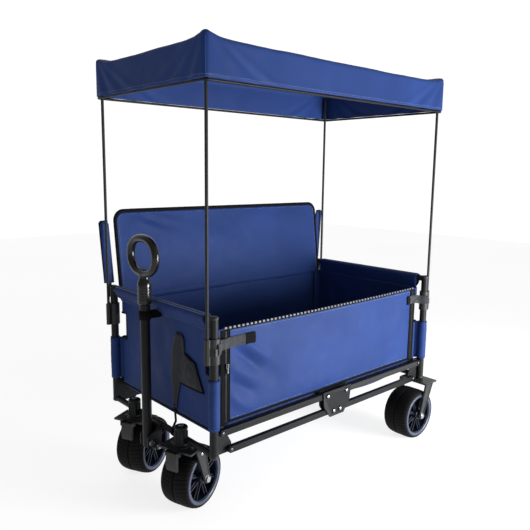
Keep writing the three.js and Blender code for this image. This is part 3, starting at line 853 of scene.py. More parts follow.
def wall_stitching(end):
    """Two sewn lines under an end wall's hem and two along its foot."""
    out = ENDS[end]
    face = end_x(end, FACE_IN) + out * 0.0008
    solid = Solid()
    for z, x in ((0.5500, face + out * 0.0046), (0.5460, face + out * 0.0030)):
        line = [(x, y, z) for y in spread(-HEM_Y + 0.006, HEM_Y - 0.006)]
        stitches(solid, line, (out, 0, 0))
    for z in (WALL_BOTTOM + 0.006, WALL_BOTTOM + 0.011):
        line = [(face + out * 0.0010, y, z) for y in spread(-FLAT, FLAT)]
        stitches(solid, line, (out, 0, 0))
    return solid.make(f"{end}_wall_stitching", THREAD)


def window_binding(end, side):
    """Tape bound round the opening beside a post."""
    sy = SIDES[side]
    ps = [WINDOW_Y, FLAT, FLAT + ARC / 2, FLAT + ARC, RETURN_WINDOW]
    rim = [(p, SLEEVE_TOP) for p in ps] + [(p, WINDOW_TOP) for p in reversed(ps)]
    points = [wall_point(end, sy * p, z) for p, z in rim]
    solid = Solid().tube(points, 0.0032, 8, closed=True)
    return solid.soft(f"window_binding_{end}_{side}")


def bottom_binding(end):
    """Tape along the foot of an end wall."""
    ps = spread(-RETURN_END, -FLAT - ARC, -FLAT, FLAT, FLAT + ARC, RETURN_END, step=0.01)
    points = [wall_point(end, p, WALL_BOTTOM + 0.002) for p in ps]
    solid = Solid().tube(points, 0.0042, 8, flat=0.62, across=Z)
    return solid.soft(f"{end}_wall_binding")


def windows_area(end):
    """How much cloth an end wall's windows take away."""
    windows = sum(has_window(end, sy) for sy in SIDES.values())
    return windows * (RETURN_WINDOW - WINDOW_Y) * (WINDOW_TOP - SLEEVE_TOP)


for end in ENDS:
    body = f"{end}_frame"
    wall = seat(end_wall(end), body, "blue_fabric", f"{end}_wall")
    sewn = [seat(rim_hem(end), body, "blue_fabric")]
    for side in SIDES:
        for piece in post_sleeve(end, side):
            sewn.append(seat(piece, body, "blue_fabric"))
        if has_window(end, SIDES[side]):
            sewn.append(seat(window_binding(end, side), body, "black_webbing"))
    sewn.append(seat(wall_stitching(end), body, "blue_fabric"))
    # Pale cords on the hem: sewn piping, and a painted highlight along its rounded top.
    sewn.append(seat(hem_cords_and_painted_highlight(end), body, "blue_fabric"))
    sewn.append(seat(bottom_binding(end), body, "black_webbing"))
    width = 2 * RETURN_END
    height = WALL_TOP - WALL_BOTTOM
    width * height - windows_area(end)
    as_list(sewn)

# --- near drop side -----------------------------------------------------------------------

NEAR_Y = -WALL_Y
NEAR_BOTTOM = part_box("near_drop_side")[0].z
SIDE_FRONT = MID_X - SIDE_X
SIDE_REAR = MID_X + SIDE_X


def zip_line(x):
    """Height of the drop side's zipped edge."""
    return WALL_TOP - 0.004 * math.sin(math.pi * (x - SIDE_FRONT) / (2 * SIDE_X)) ** 0.8


NEAR_ZIP_TOP = 0.549  # where the drop side's upright zips end
# Folds in the drop side: height, start and stop as (x from its front edge, z), width.
NEAR_FOLDS = (
    (0.0095, (0.060, 0.505), (0.170, 0.425), 0.013),
    (-0.0105, (0.025, 0.495), (0.140, 0.402), 0.012),
    (0.0070, (0.005, 0.450), (0.130, 0.368), 0.014),
    (-0.0080, (0.005, 0.405), (0.120, 0.340), 0.012),
    (0.0065, (0.005, 0.365), (0.100, 0.298), 0.014),
    (-0.0040, (0.100, 0.440), (0.230, 0.330), 0.026),
    (0.0035, (0.840, 0.500), (0.710, 0.400), 0.022),
    (-0.0030, (0.830, 0.330), (0.670, 0.300), 0.020),
)


def near_folds(x, z):
    """How far the drop side's cloth stands out: folds that fan from its corners, and ripples."""
    out = 0.0
    for height, (x0, z0), (x1, z1), width in NEAR_FOLDS:
        out += height * ridge(x, z, (SIDE_FRONT + x0, z0), (SIDE_FRONT + x1, z1), width)
    out += 0.0030 * crumple(x * 0.6, z, 0.10, 21) + 0.0010 * crumple(x, z, 0.03, 23)
    return out


def near_panel():
    """The drop side's cloth, held at its edges and folded between them."""
    xs = spread(SIDE_FRONT, SIDE_REAR, step=0.0075)
    vs = spread(0.0, 1.0, step=0.028)

    def place(x, v):
        z = NEAR_BOTTOM + v * (zip_line(x) - NEAR_BOTTOM)
        hold = held(x, SIDE_FRONT, SIDE_REAR, 0.03) * held(v, 0, 1, 0.10, 0.08)
        belly = 0.006 * math.sin(math.pi * v) * math.sin(math.pi * (x - SIDE_FRONT) / (2 * SIDE_X))
        return Vector((x, NEAR_Y - hold * (near_folds(x, z) + belly * 0.4), z))

    return sheet_piece("near_side_cloth", xs, vs, place, BLUE)


def tape_strip(name, points, across, width, thickness, material):
    """A flat tape along a line; across is the direction of its width."""
    across = Vector(across).normalized()
    solid = Solid().tube(points, width / 2, 12, flat=thickness / width, across=across)
    return solid.soft(name, material)


def zip_teeth(solid, points, across, out, pitch, reach, thick):
    """Teeth along a line, half a pitch long, with gaps between them."""
    across, out = Vector(across), Vector(out)
    path = [Vector(p) for p in points]
    carried = 0.0
    for a, b in zip(path, path[1:]):
        way = (b - a).normalized()
        length = (b - a).length
        while carried < length:
            turn = axes(way, across, out, a + way * carried)
            size = Vector((pitch / 4, reach / 2, thick / 2))
            solid.box(-size, size, turn)
            carried += pitch
        carried -= length
    return solid


def zip_puller(name, at, out, down):
    """A slider with its hanging pull tab."""
    out, down = Vector(out), Vector(down)
    turn = axes(out.cross(down), down, out, at)
    solid = Solid()
    solid.box((-0.0050, -0.006, 0.0005), (0.0050, 0.006, 0.0042), turn)
    solid.box((-0.0016, -0.004, 0.0042), (0.0016, 0.004, 0.0062), turn)
    solid.box((-0.0026, 0.002, 0.0046), (0.0026, 0.021, 0.0060), turn)
    return solid.make(name, OXIDE, 0.0006)


def along_near(out, height, inset=0.0):
    """A line along the drop side, out from its plane, at the height that a function gives."""
    xs = spread(SIDE_FRONT + inset, SIDE_REAR - inset)
    return [(x, NEAR_Y - out, height(x)) for x in xs]


def up_near(x, out, margin):
    """A line up the drop side at x, out from its plane, from a margin over its foot."""
    zs = spread(NEAR_BOTTOM + margin, NEAR_ZIP_TOP - margin)
    return [(x, NEAR_Y - out, z) for z in zs]


OUT = (0, -1, 0)


def near_side():
    """The drop side's zips, piping, foot tape, stitching and slider."""
    top = along_near(0.0, lambda x: zip_line(x) - 0.0015)
    pieces = [tape_strip("near_zip_tape", top, Z, 0.0095, 0.0046, TAPE)]
    teeth = Solid()
    edge = along_near(0.0016, lambda x: zip_line(x) + 0.0012)
    zip_teeth(teeth, edge, Z, OUT, 0.0150, 0.0052, 0.0044)
    coil = Solid()
    for end, x, inward in (("front", SIDE_FRONT, 1), ("rear", SIDE_REAR, -1)):
        line = up_near(x + inward * 0.0075, 0.0006, 0.004)
        pieces.append(tape_strip(f"near_zip_tape_{end}", line, X, 0.016, 0.0040, TAPE))
        run = up_near(x + inward * 0.0008, 0.0015, 0.006)
        zip_teeth(coil, run, X, OUT, 0.0030, 0.0034, 0.0034)
        cord = up_near(x + inward * 0.0135, 0.0026, 0.004)
        pieces.append(tape_strip(f"near_zip_piping_{end}", cord, X, 0.0026, 0.0026, TAPE))
    pieces.append(teeth.make("near_zip_teeth", TEETH))
    pieces.append(coil.make("near_zip_coil", CLIP))
    foot = along_near(0.0, lambda x: NEAR_BOTTOM + 0.004)
    pieces.append(tape_strip("near_foot_binding", foot, Z, 0.010, 0.0046, TAPE))
    thread = Solid()
    for height in (lambda x: NEAR_BOTTOM + 0.0125, lambda x: zip_line(x) - 0.0100):
        stitches(thread, along_near(0.0012, height, inset=0.02), OUT)
    pieces.append(thread.make("near_side_stitching", THREAD))
    slider = (SIDE_FRONT + 0.004, NEAR_Y - 0.003, 0.447)
    pieces.append(zip_puller("near_zip_puller", slider, OUT, (0, 0, -1)))
    return pieces


# How a corner strap runs round its post: along and out from the post's axis.
STRAP_WRAP = ((0.0, 0.0200), (0.0070, 0.0182), (0.0140, 0.0122), (0.0196, 0.0030), (0.0250, -0.0045))


STRAP_PATCH = {"front": 0.032, "rear": 0.014}  # length of the sewn end


def strap(name, end):
    """A grey strap that ties the drop side's top corner to a post, with its sewn black end."""
    lo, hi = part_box(f"near_strap_{end}")
    y = (lo.y + hi.y) / 2
    z = (lo.z + hi.z) / 2
    corner, inner = (lo.x, hi.x) if end == "front" else (hi.x, lo.x)
    toward = -ENDS[end]
    length = abs(inner - corner)

    def at(t):
        x = corner + (inner - corner) * t
        lift = 0.004 * bell((t - 0.15) / 0.16) + 0.0008 * math.sin(9 * t)
        return Vector((x, y - lift, z + 0.001 * math.sin(5 * t) - 0.003 * (1 - t)))

    line = [Vector((end_x(end, dx), -POST_Y - dy, z - 0.003)) for dx, dy in STRAP_WRAP]
    line += [at(t) for t in spread(0.014 / length, 1.0, step=0.05)]
    loop = tape_strip(name, line, Z, hi.z - lo.z, 0.0034, LOOP)
    ts = spread(1 - STRAP_PATCH[end] / length, 1.0, step=0.05)
    patch = [at(t) - Vector((0, 0.0012, 0)) for t in ts]
    patch[-1].x += toward * 0.002
    sewn = tape_strip(f"{name}_end", patch, Z, hi.z - lo.z + 0.002, 0.0040, TAPE)
    return loop, sewn


panel = seat(near_panel(), "near_side", "blue_fabric", "near_drop_side", folds=True)
for piece in near_side():
    metal = "teeth" in piece.name or "puller" in piece.name
    slot = "bright_fastener" if metal else "black_webbing"
    seat(piece, "near_side", slot, folds=True)
for end in ENDS:
    loop, sewn = strap(f"corner_strap_{end}", end)
    seat(loop, "near_side", "black_webbing", f"near_strap_{end}", folds=True)
    seat(sewn, "near_side", "black_webbing", folds=True)


def return_tapes(end, side):
    """The fixed half of a side's zip, bound to the end wall's return."""
    sy = SIDES[side]
    at, _ = wall_plan(end, sy * RETURN_END)
    x = at.x + ENDS[end] * 0.0075
    zs = spread(WALL_BOTTOM + 0.010, 0.546)
    line = [(x, at.y + sy * 0.0008, z) for z in zs]
    return tape_strip(f"fixed_zip_tape_{end}_{side}", line, X, 0.016, 0.0038, TAPE)


for end in ENDS:
    for side in SIDES:
        seat(return_tapes(end, side), f"{end}_frame", "black_webbing")

# --- far wall, backrest and its uprights --------------------------------------------------

LEAN = math.radians(7.0)
BACK_FOOT = 0.552
BACK_HEIGHT = 0.276
BACK_X = 0.458
BACK_R = 0.028
lean_turn = Matrix.Translation((MID_X, WALL_Y, BACK_FOOT)) @ Matrix.Rotation(-LEAN, 4, "X")


# Pulls in the backrest's top front corner: height, start and stop as (x, height), width.
BACK_PULLS = (
    (0.004, (-0.40, 0.250), (-0.29, 0.205), 0.010),
    (-0.004, (-0.37, 0.262), (-0.25, 0.215), 0.009),
    (0.003, (-0.33, 0.262), (-0.20, 0.228), 0.008),
)


def far_wall():
    """The far side's cloth, held at its edges."""
    lo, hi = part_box("far_wall")
    xs = spread(SIDE_FRONT, SIDE_REAR, step=0.011)
    zs = spread(lo.z, hi.z, step=0.012)

    def place(x, z):
        hold = held(x, SIDE_FRONT, SIDE_REAR, 0.03) * held(z, lo.z, hi.z, 0.03, 0.02)
        wave = 0.004 * crumple(x * 0.5, z, 0.09, 31) + 0.0012 * crumple(x, z, 0.03, 33)
        return Vector((x, WALL_Y + hold * wave, z))

    return sheet_piece("far_wall_cloth", xs, zs, place, BLUE)


def back_top(x):
    """Height of the backrest's outline above its foot, at x from its middle."""
    past = abs(x) - (BACK_X - BACK_R)
    if past <= 0:
        return BACK_HEIGHT
    return BACK_HEIGHT - BACK_R + math.sqrt(max(0.0, BACK_R**2 - past**2))


def backrest():
    """The backrest's cloth over its stiffener, a little slack, with pulls from the top corners."""
    corner = [BACK_X - BACK_R * (1 - math.sin(math.radians(a))) for a in range(0, 91, 15)]
    xs = spread(-BACK_X + BACK_R, BACK_X - BACK_R, step=0.012)
    xs = [-x for x in reversed(corner[1:])] + xs + corner[1:]
    vs = spread(0.0, 1.0, step=0.035)

    def place(x, v):
        h = v * back_top(x)
        hold = held(x, -BACK_X, BACK_X, 0.04) * held(v, 0, 1, 0.06, 0.08)
        slack = 0.006 * math.sin(math.pi * v) * (1 - (x / BACK_X) ** 4)
        slack += 0.0035 * crumple(x * 0.5, h, 0.08, 41) + 0.001 * crumple(x, h, 0.025, 43)
        for height, start, stop, width in BACK_PULLS:
            slack += height * ridge(x, h, start, stop, width)
        return lean_turn @ Vector((x, -hold * slack, h))

    return sheet_piece("backrest_cloth", xs, vs, place, BLUE, 0.0045)


def arch(margin):
    """The backrest's edge from one foot over the top to the other, grown by a margin."""
    steps = 8
    r = BACK_R + margin
    points = [Vector((BACK_X + margin, 0, h)) for h in spread(0.0, BACK_HEIGHT - BACK_R)]
    for centre, first in ((BACK_X - BACK_R, 0), (BACK_R - BACK_X, 90)):
        for k in range(1, steps + 1):
            a = math.radians(first + 90 * k / steps)
            points.append(Vector((centre + r * math.cos(a), 0, BACK_HEIGHT - BACK_R + r * math.sin(a))))
        if first == 0:
            points += [Vector((x, 0, BACK_HEIGHT + margin)) for x in spread(0.40, -0.40)]
    hs = spread(BACK_HEIGHT - BACK_R - 0.02, 0.0)
    return points + [Vector((-BACK_X - margin, 0, h)) for h in hs]


def backrest_trim():
    """The tape bound over the backrest's edge."""
    path = [lean_turn @ p for p in arch(0.0045)]
    solid = Solid().tube(path, 0.0062, 12, flat=0.72, across=lean_turn.to_3x3() @ Vector(X))
    return solid.soft("backrest_binding")


def back_joint():
    """The cloth that joins the backrest's foot to the far wall's top, over the seam on both faces."""
    xs = spread(-BACK_X + 0.010, BACK_X - 0.010, step=0.014)
    section = [(0.0002, -0.013), (-0.0026, -0.006), (-0.0031, 0.001), (-0.0026, 0.008)]
    section += [(0.0002, 0.016)]

    def place(x, k):
        y, z = section[k]
        past = max(0.0, abs(x) - SIDE_X) / 0.03
        z = z if z > 0 else z * (1 - min(1.0, past))
        y += 0.122 * max(0.0, z) + 0.0006 * crumple(x, z, 0.03, 47)
        return Vector((MID_X + x, WALL_Y + y, BACK_FOOT + z))

    return sheet_piece("backrest_joint", xs, list(range(len(section))), place, BLUE, 0.0014)


def back_stitching():
    """A sewn line inside the backrest's binding, on both faces."""
    solid = Solid()
    for face in (Vector((0, -1, 0)), Vector(Y)):
        path = [lean_turn @ (p + 0.0033 * face) for p in arch(-0.006)]
        stitches(solid, path, lean_turn.to_3x3() @ face)
    return solid.make("backrest_stitching", THREAD)


wall = seat(far_wall(), "front_frame", "blue_fabric", "far_wall", folds=True)
far_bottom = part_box("far_wall")[0].z
back = seat(backrest(), "front_frame", "blue_fabric", "backrest_panel", folds=True)
binding = seat(backrest_trim(), "front_frame", "black_webbing", "backrest_trim", folds=True)
thread = seat(back_stitching(), "front_frame", "blue_fabric", folds=True)
joint = seat(back_joint(), "front_frame", "blue_fabric", folds=True)


UPRIGHT_SLOPE = math.tan(math.radians(4.0))
UPRIGHT_FOOT = 0.556
UPRIGHT_HALF = (0.016, 0.011)  # the sleeve's half width along X and along Y
SLEEVE_FOOT = 0.600
SLEEVE_CROWN = 0.800


def upright(end):
    """A cloth sleeve over a flat stay, on a tube clamped to the far post."""
    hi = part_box(f"backrest_upright_{end}")[1]
    out = ENDS[end]
    half_x, half_y = UPRIGHT_HALF

    def axis(z):
        rise = z - UPRIGHT_FOOT
        return Vector((POST_X[end] + out * (0.002 + UPRIGHT_SLOPE * rise), hi.y - half_y, z))

    turns = circle(24) + [2 * math.pi]
    zs = spread(SLEEVE_FOOT, SLEEVE_CROWN - 0.010, SLEEVE_CROWN, step=0.008)

    def place(a, z):
        close = 1 - 0.55 * bell((z - SLEEVE_CROWN - 0.002) / 0.006)
        wrinkle = 1 + 0.05 * crumple(a * 0.01, z, 0.02, 51 + out)
        flat = half_y * (0.55 + 0.25 * bell((z - SLEEVE_FOOT) / 0.08)) * close * wrinkle
        return axis(z) + Vector((half_x * close * math.cos(a), flat * math.sin(a), 0))

    sleeve = sheet_piece(f"upright_sleeve_{end}", turns, zs, place, BLUE, 0.0016)
    half_top = Vector((0.013, 0, 0))
    across = [axis(0.7975) - half_top, axis(0.7985), axis(0.7975) + half_top]
    top = Solid().tube(across, 0.0035, 8)
    # A black cord down the sleeve's outer side: painted shade that stands for the shade along that
    # side.
    zs = spread(SLEEVE_FOOT, SLEEVE_CROWN - 0.004, step=0.01)
    painted_shade_line = [axis(z) + Vector((out * 0.0152, 0.0, 0)) for z in zs]
    edge = Solid().tube(painted_shade_line, 0.0030, 8)
    foot = axis(UPRIGHT_FOOT) + Vector((0, 0.001, 0))
    stay = Solid().tube([foot, axis(SLEEVE_FOOT + 0.050)], 0.007, 20)
    x = POST_X[end]
    clamp = Solid().box((x - 0.009, POST_Y + 0.0125, 0.554), (x + 0.015, hi.y, 0.590))
    nut = [(0, 0), (0.0046, 0), (0.0046, 0.003), (0, 0.0038)]
    clamp.lathe(nut, (x + 0.003, hi.y - 0.001, 0.572), Y, 6)
    return {
        "cloth": sleeve,
        "seam": top.soft(f"upright_seam_{end}"),
        "piping": edge.soft(f"upright_painted_shade_cord_{end}"),
        "stay": stay.make(f"upright_stay_{end}", STEEL, 0.0008),
        "clamp": clamp.make(f"upright_clamp_{end}", CLIP, 0.0014),
    }


for end in ENDS:
    body = f"{end}_frame"
    parts = upright(end)
    sleeve = seat(parts["cloth"], body, "blue_fabric", f"backrest_upright_{end}")
    # The 'piping' part is the black cord of painted shade down the sleeve's side.
    sewn = [seat(parts[k], body, "black_webbing") for k in ("seam", "piping")]
    seat(parts["stay"], body, "black_frame")
    seat(parts["clamp"], body, "clip_plastic")
    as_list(sewn)

# --- floor --------------------------------------------------------------------------------


def floor_pad(end):
    """A stiff board in blue cloth, softly rounded, with a sewn line round it."""
    lo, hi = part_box(f"{end}_floor")
    shift = Vector((-0.0018 * ENDS[end], 0, 0))
    wider = Vector((0, 0.001, -0.001))
    solid = Solid().box(lo + shift - wider, hi + shift + wider)
    piece = solid.make(f"{end}_floor_pad", BLUE, 0.0030, segments=3)
    bake(piece)
    with editing(piece.data) as bm:
        long_edges = [e for e in bm.edges if e.calc_length() > 0.1]
        bmesh.ops.subdivide_edges(bm, edges=long_edges, cuts=22, use_grid_fill=True)
        for v in bm.verts:
            inset = min(v.co.x - lo.x, hi.x - v.co.x, v.co.y - lo.y, hi.y - v.co.y)
            if v.co.z > (lo.z + hi.z) / 2 and inset > 0.006:
                v.co.z -= 0.0018 * bell((inset - 0.022) / 0.007)
                v.co.z += 0.0006 * crumple(v.co.x, v.co.y, 0.05, 61)
    smooth(piece.data, 50)
    return piece


BELLY_DROP = {"front": 0.021, "rear": 0.030}  # how far the cloth sags under each half of the floor


def floor_skirt(end):
    """The cloth belly under a floor half, seen below the upper links."""
    lo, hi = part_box(f"{end}_floor")
    near_x, far_x = lo.x + 0.060, hi.x - 0.010
    if end == "front":
        near_x, far_x = hi.x - 0.060, lo.x + 0.010
    xs = spread(near_x, far_x, step=0.015)
    ys = spread(lo.y + 0.002, hi.y - 0.002)

    def place(x, y):
        t = (x - near_x) / (far_x - near_x)
        drop = BELLY_DROP[end] * math.sin(math.pi * min(1, 0.06 + 0.94 * t)) ** 0.6
        edge = min(1, (hi.y - 0.002 - abs(y)) / 0.006)
        return Vector((x, y, lo.z - 0.0016 - drop * max(0.0, min(1.0, 0.12 + edge))))

    return sheet_piece(f"{end}_floor_belly", xs, ys, place, BLUE, 0.0014)


FLOOR_BODY = {"front": "upper_front_links", "rear": "upper_rear_links"}
for end in ENDS:
    pad = seat(floor_pad(end), FLOOR_BODY[end], "blue_fabric", f"{end}_floor")
    belly = seat(floor_skirt(end), FLOOR_BODY[end], "blue_fabric")


def gusset(name, section, start, stop, along_x):
    """A strip of cloth between a wall's foot and the floor; section holds (across, z) points."""

    def place(along, k):
        across, z = section[k]
        return Vector((along, across, z)) if along_x else Vector((across, along, z))

    ks = list(range(len(section)))
    return sheet_piece(name, spread(start, stop), ks, place, BLUE, 0.0012)


FLOOR_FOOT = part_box("front_floor")[0].z - 0.0012
GUSSET_OVERLAP = 0.003  # how far a gusset reaches up the inside of its wall
GUSSET_BEND = ((0.0036, 0.0045), (0.0062, 0.0006), (0.0150, 0.0))  # in from the wall, over the foot


def add_gusset(name, body, wall, inward, wall_foot, reach, along_x):
    """Seats a gusset that runs reach[0] to reach[1] along a wall."""
    section = [(wall + inward * GUSSET_BEND[0][0], wall_foot + GUSSET_OVERLAP)]
    section += [(wall + inward * d, FLOOR_FOOT + rise) for d, rise in GUSSET_BEND]
    strip = seat(gusset(name, section, *reach, along_x), body, "blue_fabric", folds=along_x)
    girth = sum(math.dist(a, b) for a, b in zip(section, section[1:]))


for side, sy in SIDES.items():
    foot = NEAR_BOTTOM if side == "near" else far_bottom
    add_gusset(f"floor_gusset_{side}", "front_frame", sy * WALL_Y, -sy, foot,
               (SIDE_FRONT, SIDE_REAR), True)
for end, out in ENDS.items():
    add_gusset(f"floor_gusset_{end}", f"{end}_frame", end_x(end, FACE_IN), -out, WALL_BOTTOM,
               (-FLAT, FLAT), False)

# --- front pocket -------------------------------------------------------------------------

# The band's inner and outer edge along the wall, at rising heights.
BAND_EDGE = ((0.301, 0.057, 0.076), (0.385, 0.046, 0.100), (0.447, 0.052, 0.119), (0.500, 0.066, 0.112))


POCKET_FOOT = 0.366


def band_edge(z, which):
    """How far along the front wall the band's inner (1) or outer (2) edge is at a height."""
    heights = [row[0] for row in BAND_EDGE]
    return float(np.interp(z, heights, [row[which] for row in BAND_EDGE]))


def pocket():
    """A bound net pocket beside an upright band of the same net, and the band's tie below."""
    lo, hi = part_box("front_pocket")
    back = hi.x - 0.0006
    us = spread(0.0, 1.0, step=0.06)
    vs = spread(0.0, 1.0, step=0.06)

    def place(u, v):
        foot_y = 0.094 + 0.111 * u
        top_y = 0.119 + 0.044 * u if u < 1 else 0.165
        top_z = 0.456 - 0.015 * u
        y = foot_y + (top_y - foot_y) * v
        z = POCKET_FOOT + (top_z - POCKET_FOOT) * v
        bulge = 0.0070 * math.sin(math.pi * u) ** 0.7
        bulge *= math.sin(math.pi * min(1, 0.1 + 0.85 * v)) ** 0.8
        ripple = 0.0015 * crumple(y, z, 0.02, 71) * u**1.6
        return Vector((back - 0.0012 - max(0.0, bulge + ripple), -y, z))

    net = sheet_piece("pocket_net", us, vs, place, NET, 0.0012)
    rim = [place(u, 1.0) for u in us] + [place(1.0, v) for v in reversed(vs[:-1])]
    rim += [place(u, 0.0) for u in reversed(us[:-1])]
    binding = Solid().tube(rim, 0.0026, 10).soft("pocket_binding")

    def strip(u, z):
        inner, outer = band_edge(z, 1), band_edge(z, 2)
        close = 1.0 - 0.5 * bell((z - 0.514) / 0.008)
        y = (inner + outer) / 2 + (u - 0.5) * (outer - inner) * close
        puff = 0.0020 * math.sin(math.pi * u) + 0.0008 * crumple(y, z, 0.03, 73)
        return Vector((back - 0.0018 - max(0.0, puff), -y, z))

    band_us, band_zs = spread(0.0, 1.0, step=0.12), spread(lo.z, 0.510, step=0.012)
    band = sheet_piece("pocket_band", band_us, band_zs, strip, NET, 0.0014)
    x0, x1 = back - 0.003, end_x("front")
    tie_y, loop_r = -0.078, 0.0108
    foot = [(x0, -0.066, lo.z + 0.010), (x0, -0.068, WALL_BOTTOM), (x0 - 0.002, -0.074, 0.245)]
    foot += [(x1 - 0.0105, tie_y, CROSS_Z + 0.008), (x1 - 0.0110, tie_y, CROSS_Z - 0.004)]
    tie = Solid().tube(foot, 0.0058, 12, flat=0.22, across=Y)
    loop = [(x1 + loop_r * math.cos(a), tie_y, CROSS_Z + loop_r * math.sin(a)) for a in circle(20)]
    tie.tube(loop, 0.0058, 12, closed=True, flat=0.2, across=Y)
    return net, binding, band, tie.soft("pocket_tie")


net, binding, band, tie = pocket()
seat(net, "front_frame", "pocket_mesh", "front_pocket")
seat(band, "front_frame", "pocket_mesh")
seat(binding, "front_frame", "black_webbing")
seat(tie, "front_frame", "black_webbing")

# --- wheels -------------------------------------------------------------------------------

WHEEL_R = 0.089
TYRE_HALF = 0.048
SIPES = 44
SPOKES = 8
FORK_FACE = 0.057  # from the wheel's middle to the outside of a fork leg
AXLE_HALF = 0.064


def wheel_frame(end, side):
    """The wheel's centre and its axle's direction; a caster's yaw shows in where its wheel is."""
    lo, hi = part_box(f"tyre_{end}_{side}")
    centre = (lo + hi) / 2
    if end == "rear":
        return centre, Vector(Y)
    yaw = math.atan2(centre.y - SIDES[side] * CASTER_Y, centre.x - STEM_X)
    return centre, Vector((-math.sin(yaw), math.cos(yaw), 0))


def mirrored(half):
    """A profile of (radius, along) with its mirror image put before it."""
    return [(r, -along) for r, along in reversed(half)] + half


SIPE_DEPTH = 0.0020
SIPE_SLANT = 0.8  # of a sipe's pitch, from the tyre's middle to its edge
# Turns within a sipe's pitch, and whether the point there is cut in.
SIPE_TURNS = ((0.0, 0), (0.06, 1), (0.12, 0), (0.34, 0), (0.56, 0), (0.78, 0))


def tyre(name, centre, axle):
    """A wide tyre with a groove round its middle and fine cuts across its shoulders."""
    half = [(0.0852, 0.0016), (0.0886, 0.0028), (0.0890, 0.0050), (0.0890, 0.0150), (0.0888, 0.0230)]
    half += [(0.0882, 0.0300), (0.0872, 0.0360), (0.0858, 0.0410), (0.0838, 0.0446), (0.0815, 0.0468)]
    half += [(0.0790, 0.0479), (0.0768, 0.0478), (0.0752, 0.0466), (0.0740, 0.0445), (0.0724, 0.0435)]
    profile = mirrored(half)
    period = 2 * math.pi / SIPES
    u, v = beside(axle)
    verts = []
    turns = [(start + part * period, cut) for start in circle(SIPES) for part, cut in SIPE_TURNS]
    for r, along in profile:
        across = abs(along) / TYRE_HALF
        depth = SIPE_DEPTH * min(1.0, max(0.0, (across - 0.16) / 0.10))
        depth *= min(1.0, max(0.0, (r - 0.0800) / 0.004))
        for turn, cut in turns:
            a = turn + SIPE_SLANT * period * across
            away = math.cos(a) * u + math.sin(a) * v
            verts.append(centre + axle * along + (r - depth * cut) * away)
    solid = Solid().add(verts, quads(len(profile), len(turns), True, True))
    return solid.make(name, RUBBER, sharp=32)


def wheel_rim(name, centre, axle):
    """A moulded rim: barrel, middle web, hub and spokes on both faces."""
    barrel = [(0.0676, 0.0430), (0.0722, 0.0430), (0.0722, -0.0430), (0.0676, -0.0430)]
    barrel += [(0.0650, -0.020), (0.0650, 0.020)]
    solid = Solid().lathe(barrel, centre, axle, 72)
    solid.lathe([(0, 0.010), (0.0660, 0.014), (0.0660, -0.014), (0, -0.010)], centre, axle, 72)
    hub = [(0, 0.0470), (0.0130, 0.0470), (0.0165, 0.0450), (0.0185, 0.0400), (0.0200, 0.0120)]
    hub += [(r, -a) for r, a in reversed(hub)]
    solid.lathe(hub, centre, axle, 40)
    u, v = beside(axle)
    # A spoke and the thin rib along it: radii, half widths and depths where they start and stop.
    spoke_and_rib = (
        (0.014, 0.0690, 0.0050, 0.0080, 0.011, 0.0330),
        (0.016, 0.0684, 0.0014, 0.0016, 0.030, 0.0385),
    )
    for k in range(SPOKES):
        a = 2 * math.pi * (k + 0.5) / SPOKES
        away = math.cos(a) * u + math.sin(a) * v
        turn = axes(away, axle.cross(away), axle, centre)
        for face in (-1, 1):
            for r0, r1, w0, w1, low, high in spoke_and_rib:
                outline = [(r0, -w0), (r1, -w1), (r1, w1), (r0, w0)]
                solid.prism(outline, face * low, face * high, lambda *at: turn @ Vector(at))
    return solid.make(name, RIM, 0.0008, sharp=35)


def wheel_rings(name, centre, axle):
    """The pale lip on both faces of a rim."""
    solid = Solid()
    lip = [(0.0655, 0.0400), (0.0740, 0.0400), (0.0762, 0.0440), (0.0762, 0.0472), (0.0745, 0.0484)]
    lip += [(0.0690, 0.0484), (0.0668, 0.0470), (0.0655, 0.0440)]
    for face in (-1, 1):
        solid.lathe([(r, face * a) for r, a in lip], centre, axle, 72)
    return solid.make(name, RING, sharp=30)


def axle_bolt(name, centre, axle):
    """The axle with a washer, a hex head and a rounded end on both fork legs."""
    head = FORK_FACE + 0.0010
    nose = [(0, 0.0), (0.0046, 0.0), (0.0046, AXLE_HALF - 0.0012)]
    nose += [(0.0034, AXLE_HALF), (0, AXLE_HALF)]
    solid = Solid()
    for way in (-axle, axle):
        solid.lathe(disc_profile(0.0118, FORK_FACE, head), centre, way, 32)
        solid.lathe(disc_profile(0.0098, head, FORK_FACE + 0.0055), centre, way, 6)
        solid.lathe(nose, centre, way, 20)
    return solid.make(name, ZINC, 0.0005)


for end in ENDS:
    for side in SIDES:
        name = f"{end}_{side}"
        at = wheel_frame(end, side)
        wheel = f"wheel_{name}"
        carrier = f"caster_{side}" if end == "front" else "rear_frame"
        seat(tyre(f"tread_{name}", *at), wheel, "tyre_rubber", f"tyre_{name}")
        seat(wheel_rim(f"spoked_rim_{name}", *at), wheel, "rim_plastic", f"rim_{name}")
        seat(wheel_rings(f"rim_lip_{name}", *at), wheel, "rim_plastic")
        seat(axle_bolt(f"axle_{name}", *at), carrier, "bright_fastener", f"axle_bolt_{name}")


FORK_TRAIL = {"front": 0.046, "rear": 0.059}
FORK_TOP = {"front": 0.1945, "rear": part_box("rear_fork_near")[1].z}
FORK_FOOT_R = 0.0105


def fork_edges(end, side):
    """Raised edges round the outside of both fork legs."""
    centre, axle = wheel_frame(end, side)
    ahead = axle.cross(Vector(Z)) * -ENDS[end]
    trail = FORK_TRAIL[end]
    top = FORK_TOP[end] - 0.0045 - WHEEL_R
    turns = spread(-math.pi, 0.0, step=0.25)
    outline = [(-0.0035 - trail, top)]
    outline += [(FORK_FOOT_R * math.cos(a), FORK_FOOT_R * math.sin(a)) for a in turns]
    outline += [(0.0355 - trail, top)]
    solid = Solid()
    for face in (-1, 1):
        middle = centre + axle * face * (FORK_FACE + 0.0004)
        solid.tube([middle + ahead * u + Vector(Z) * v for u, v in outline], 0.0017, 8, closed=True)
    return solid.make(f"fork_edges_{end}_{side}", FORK, sharp=60)


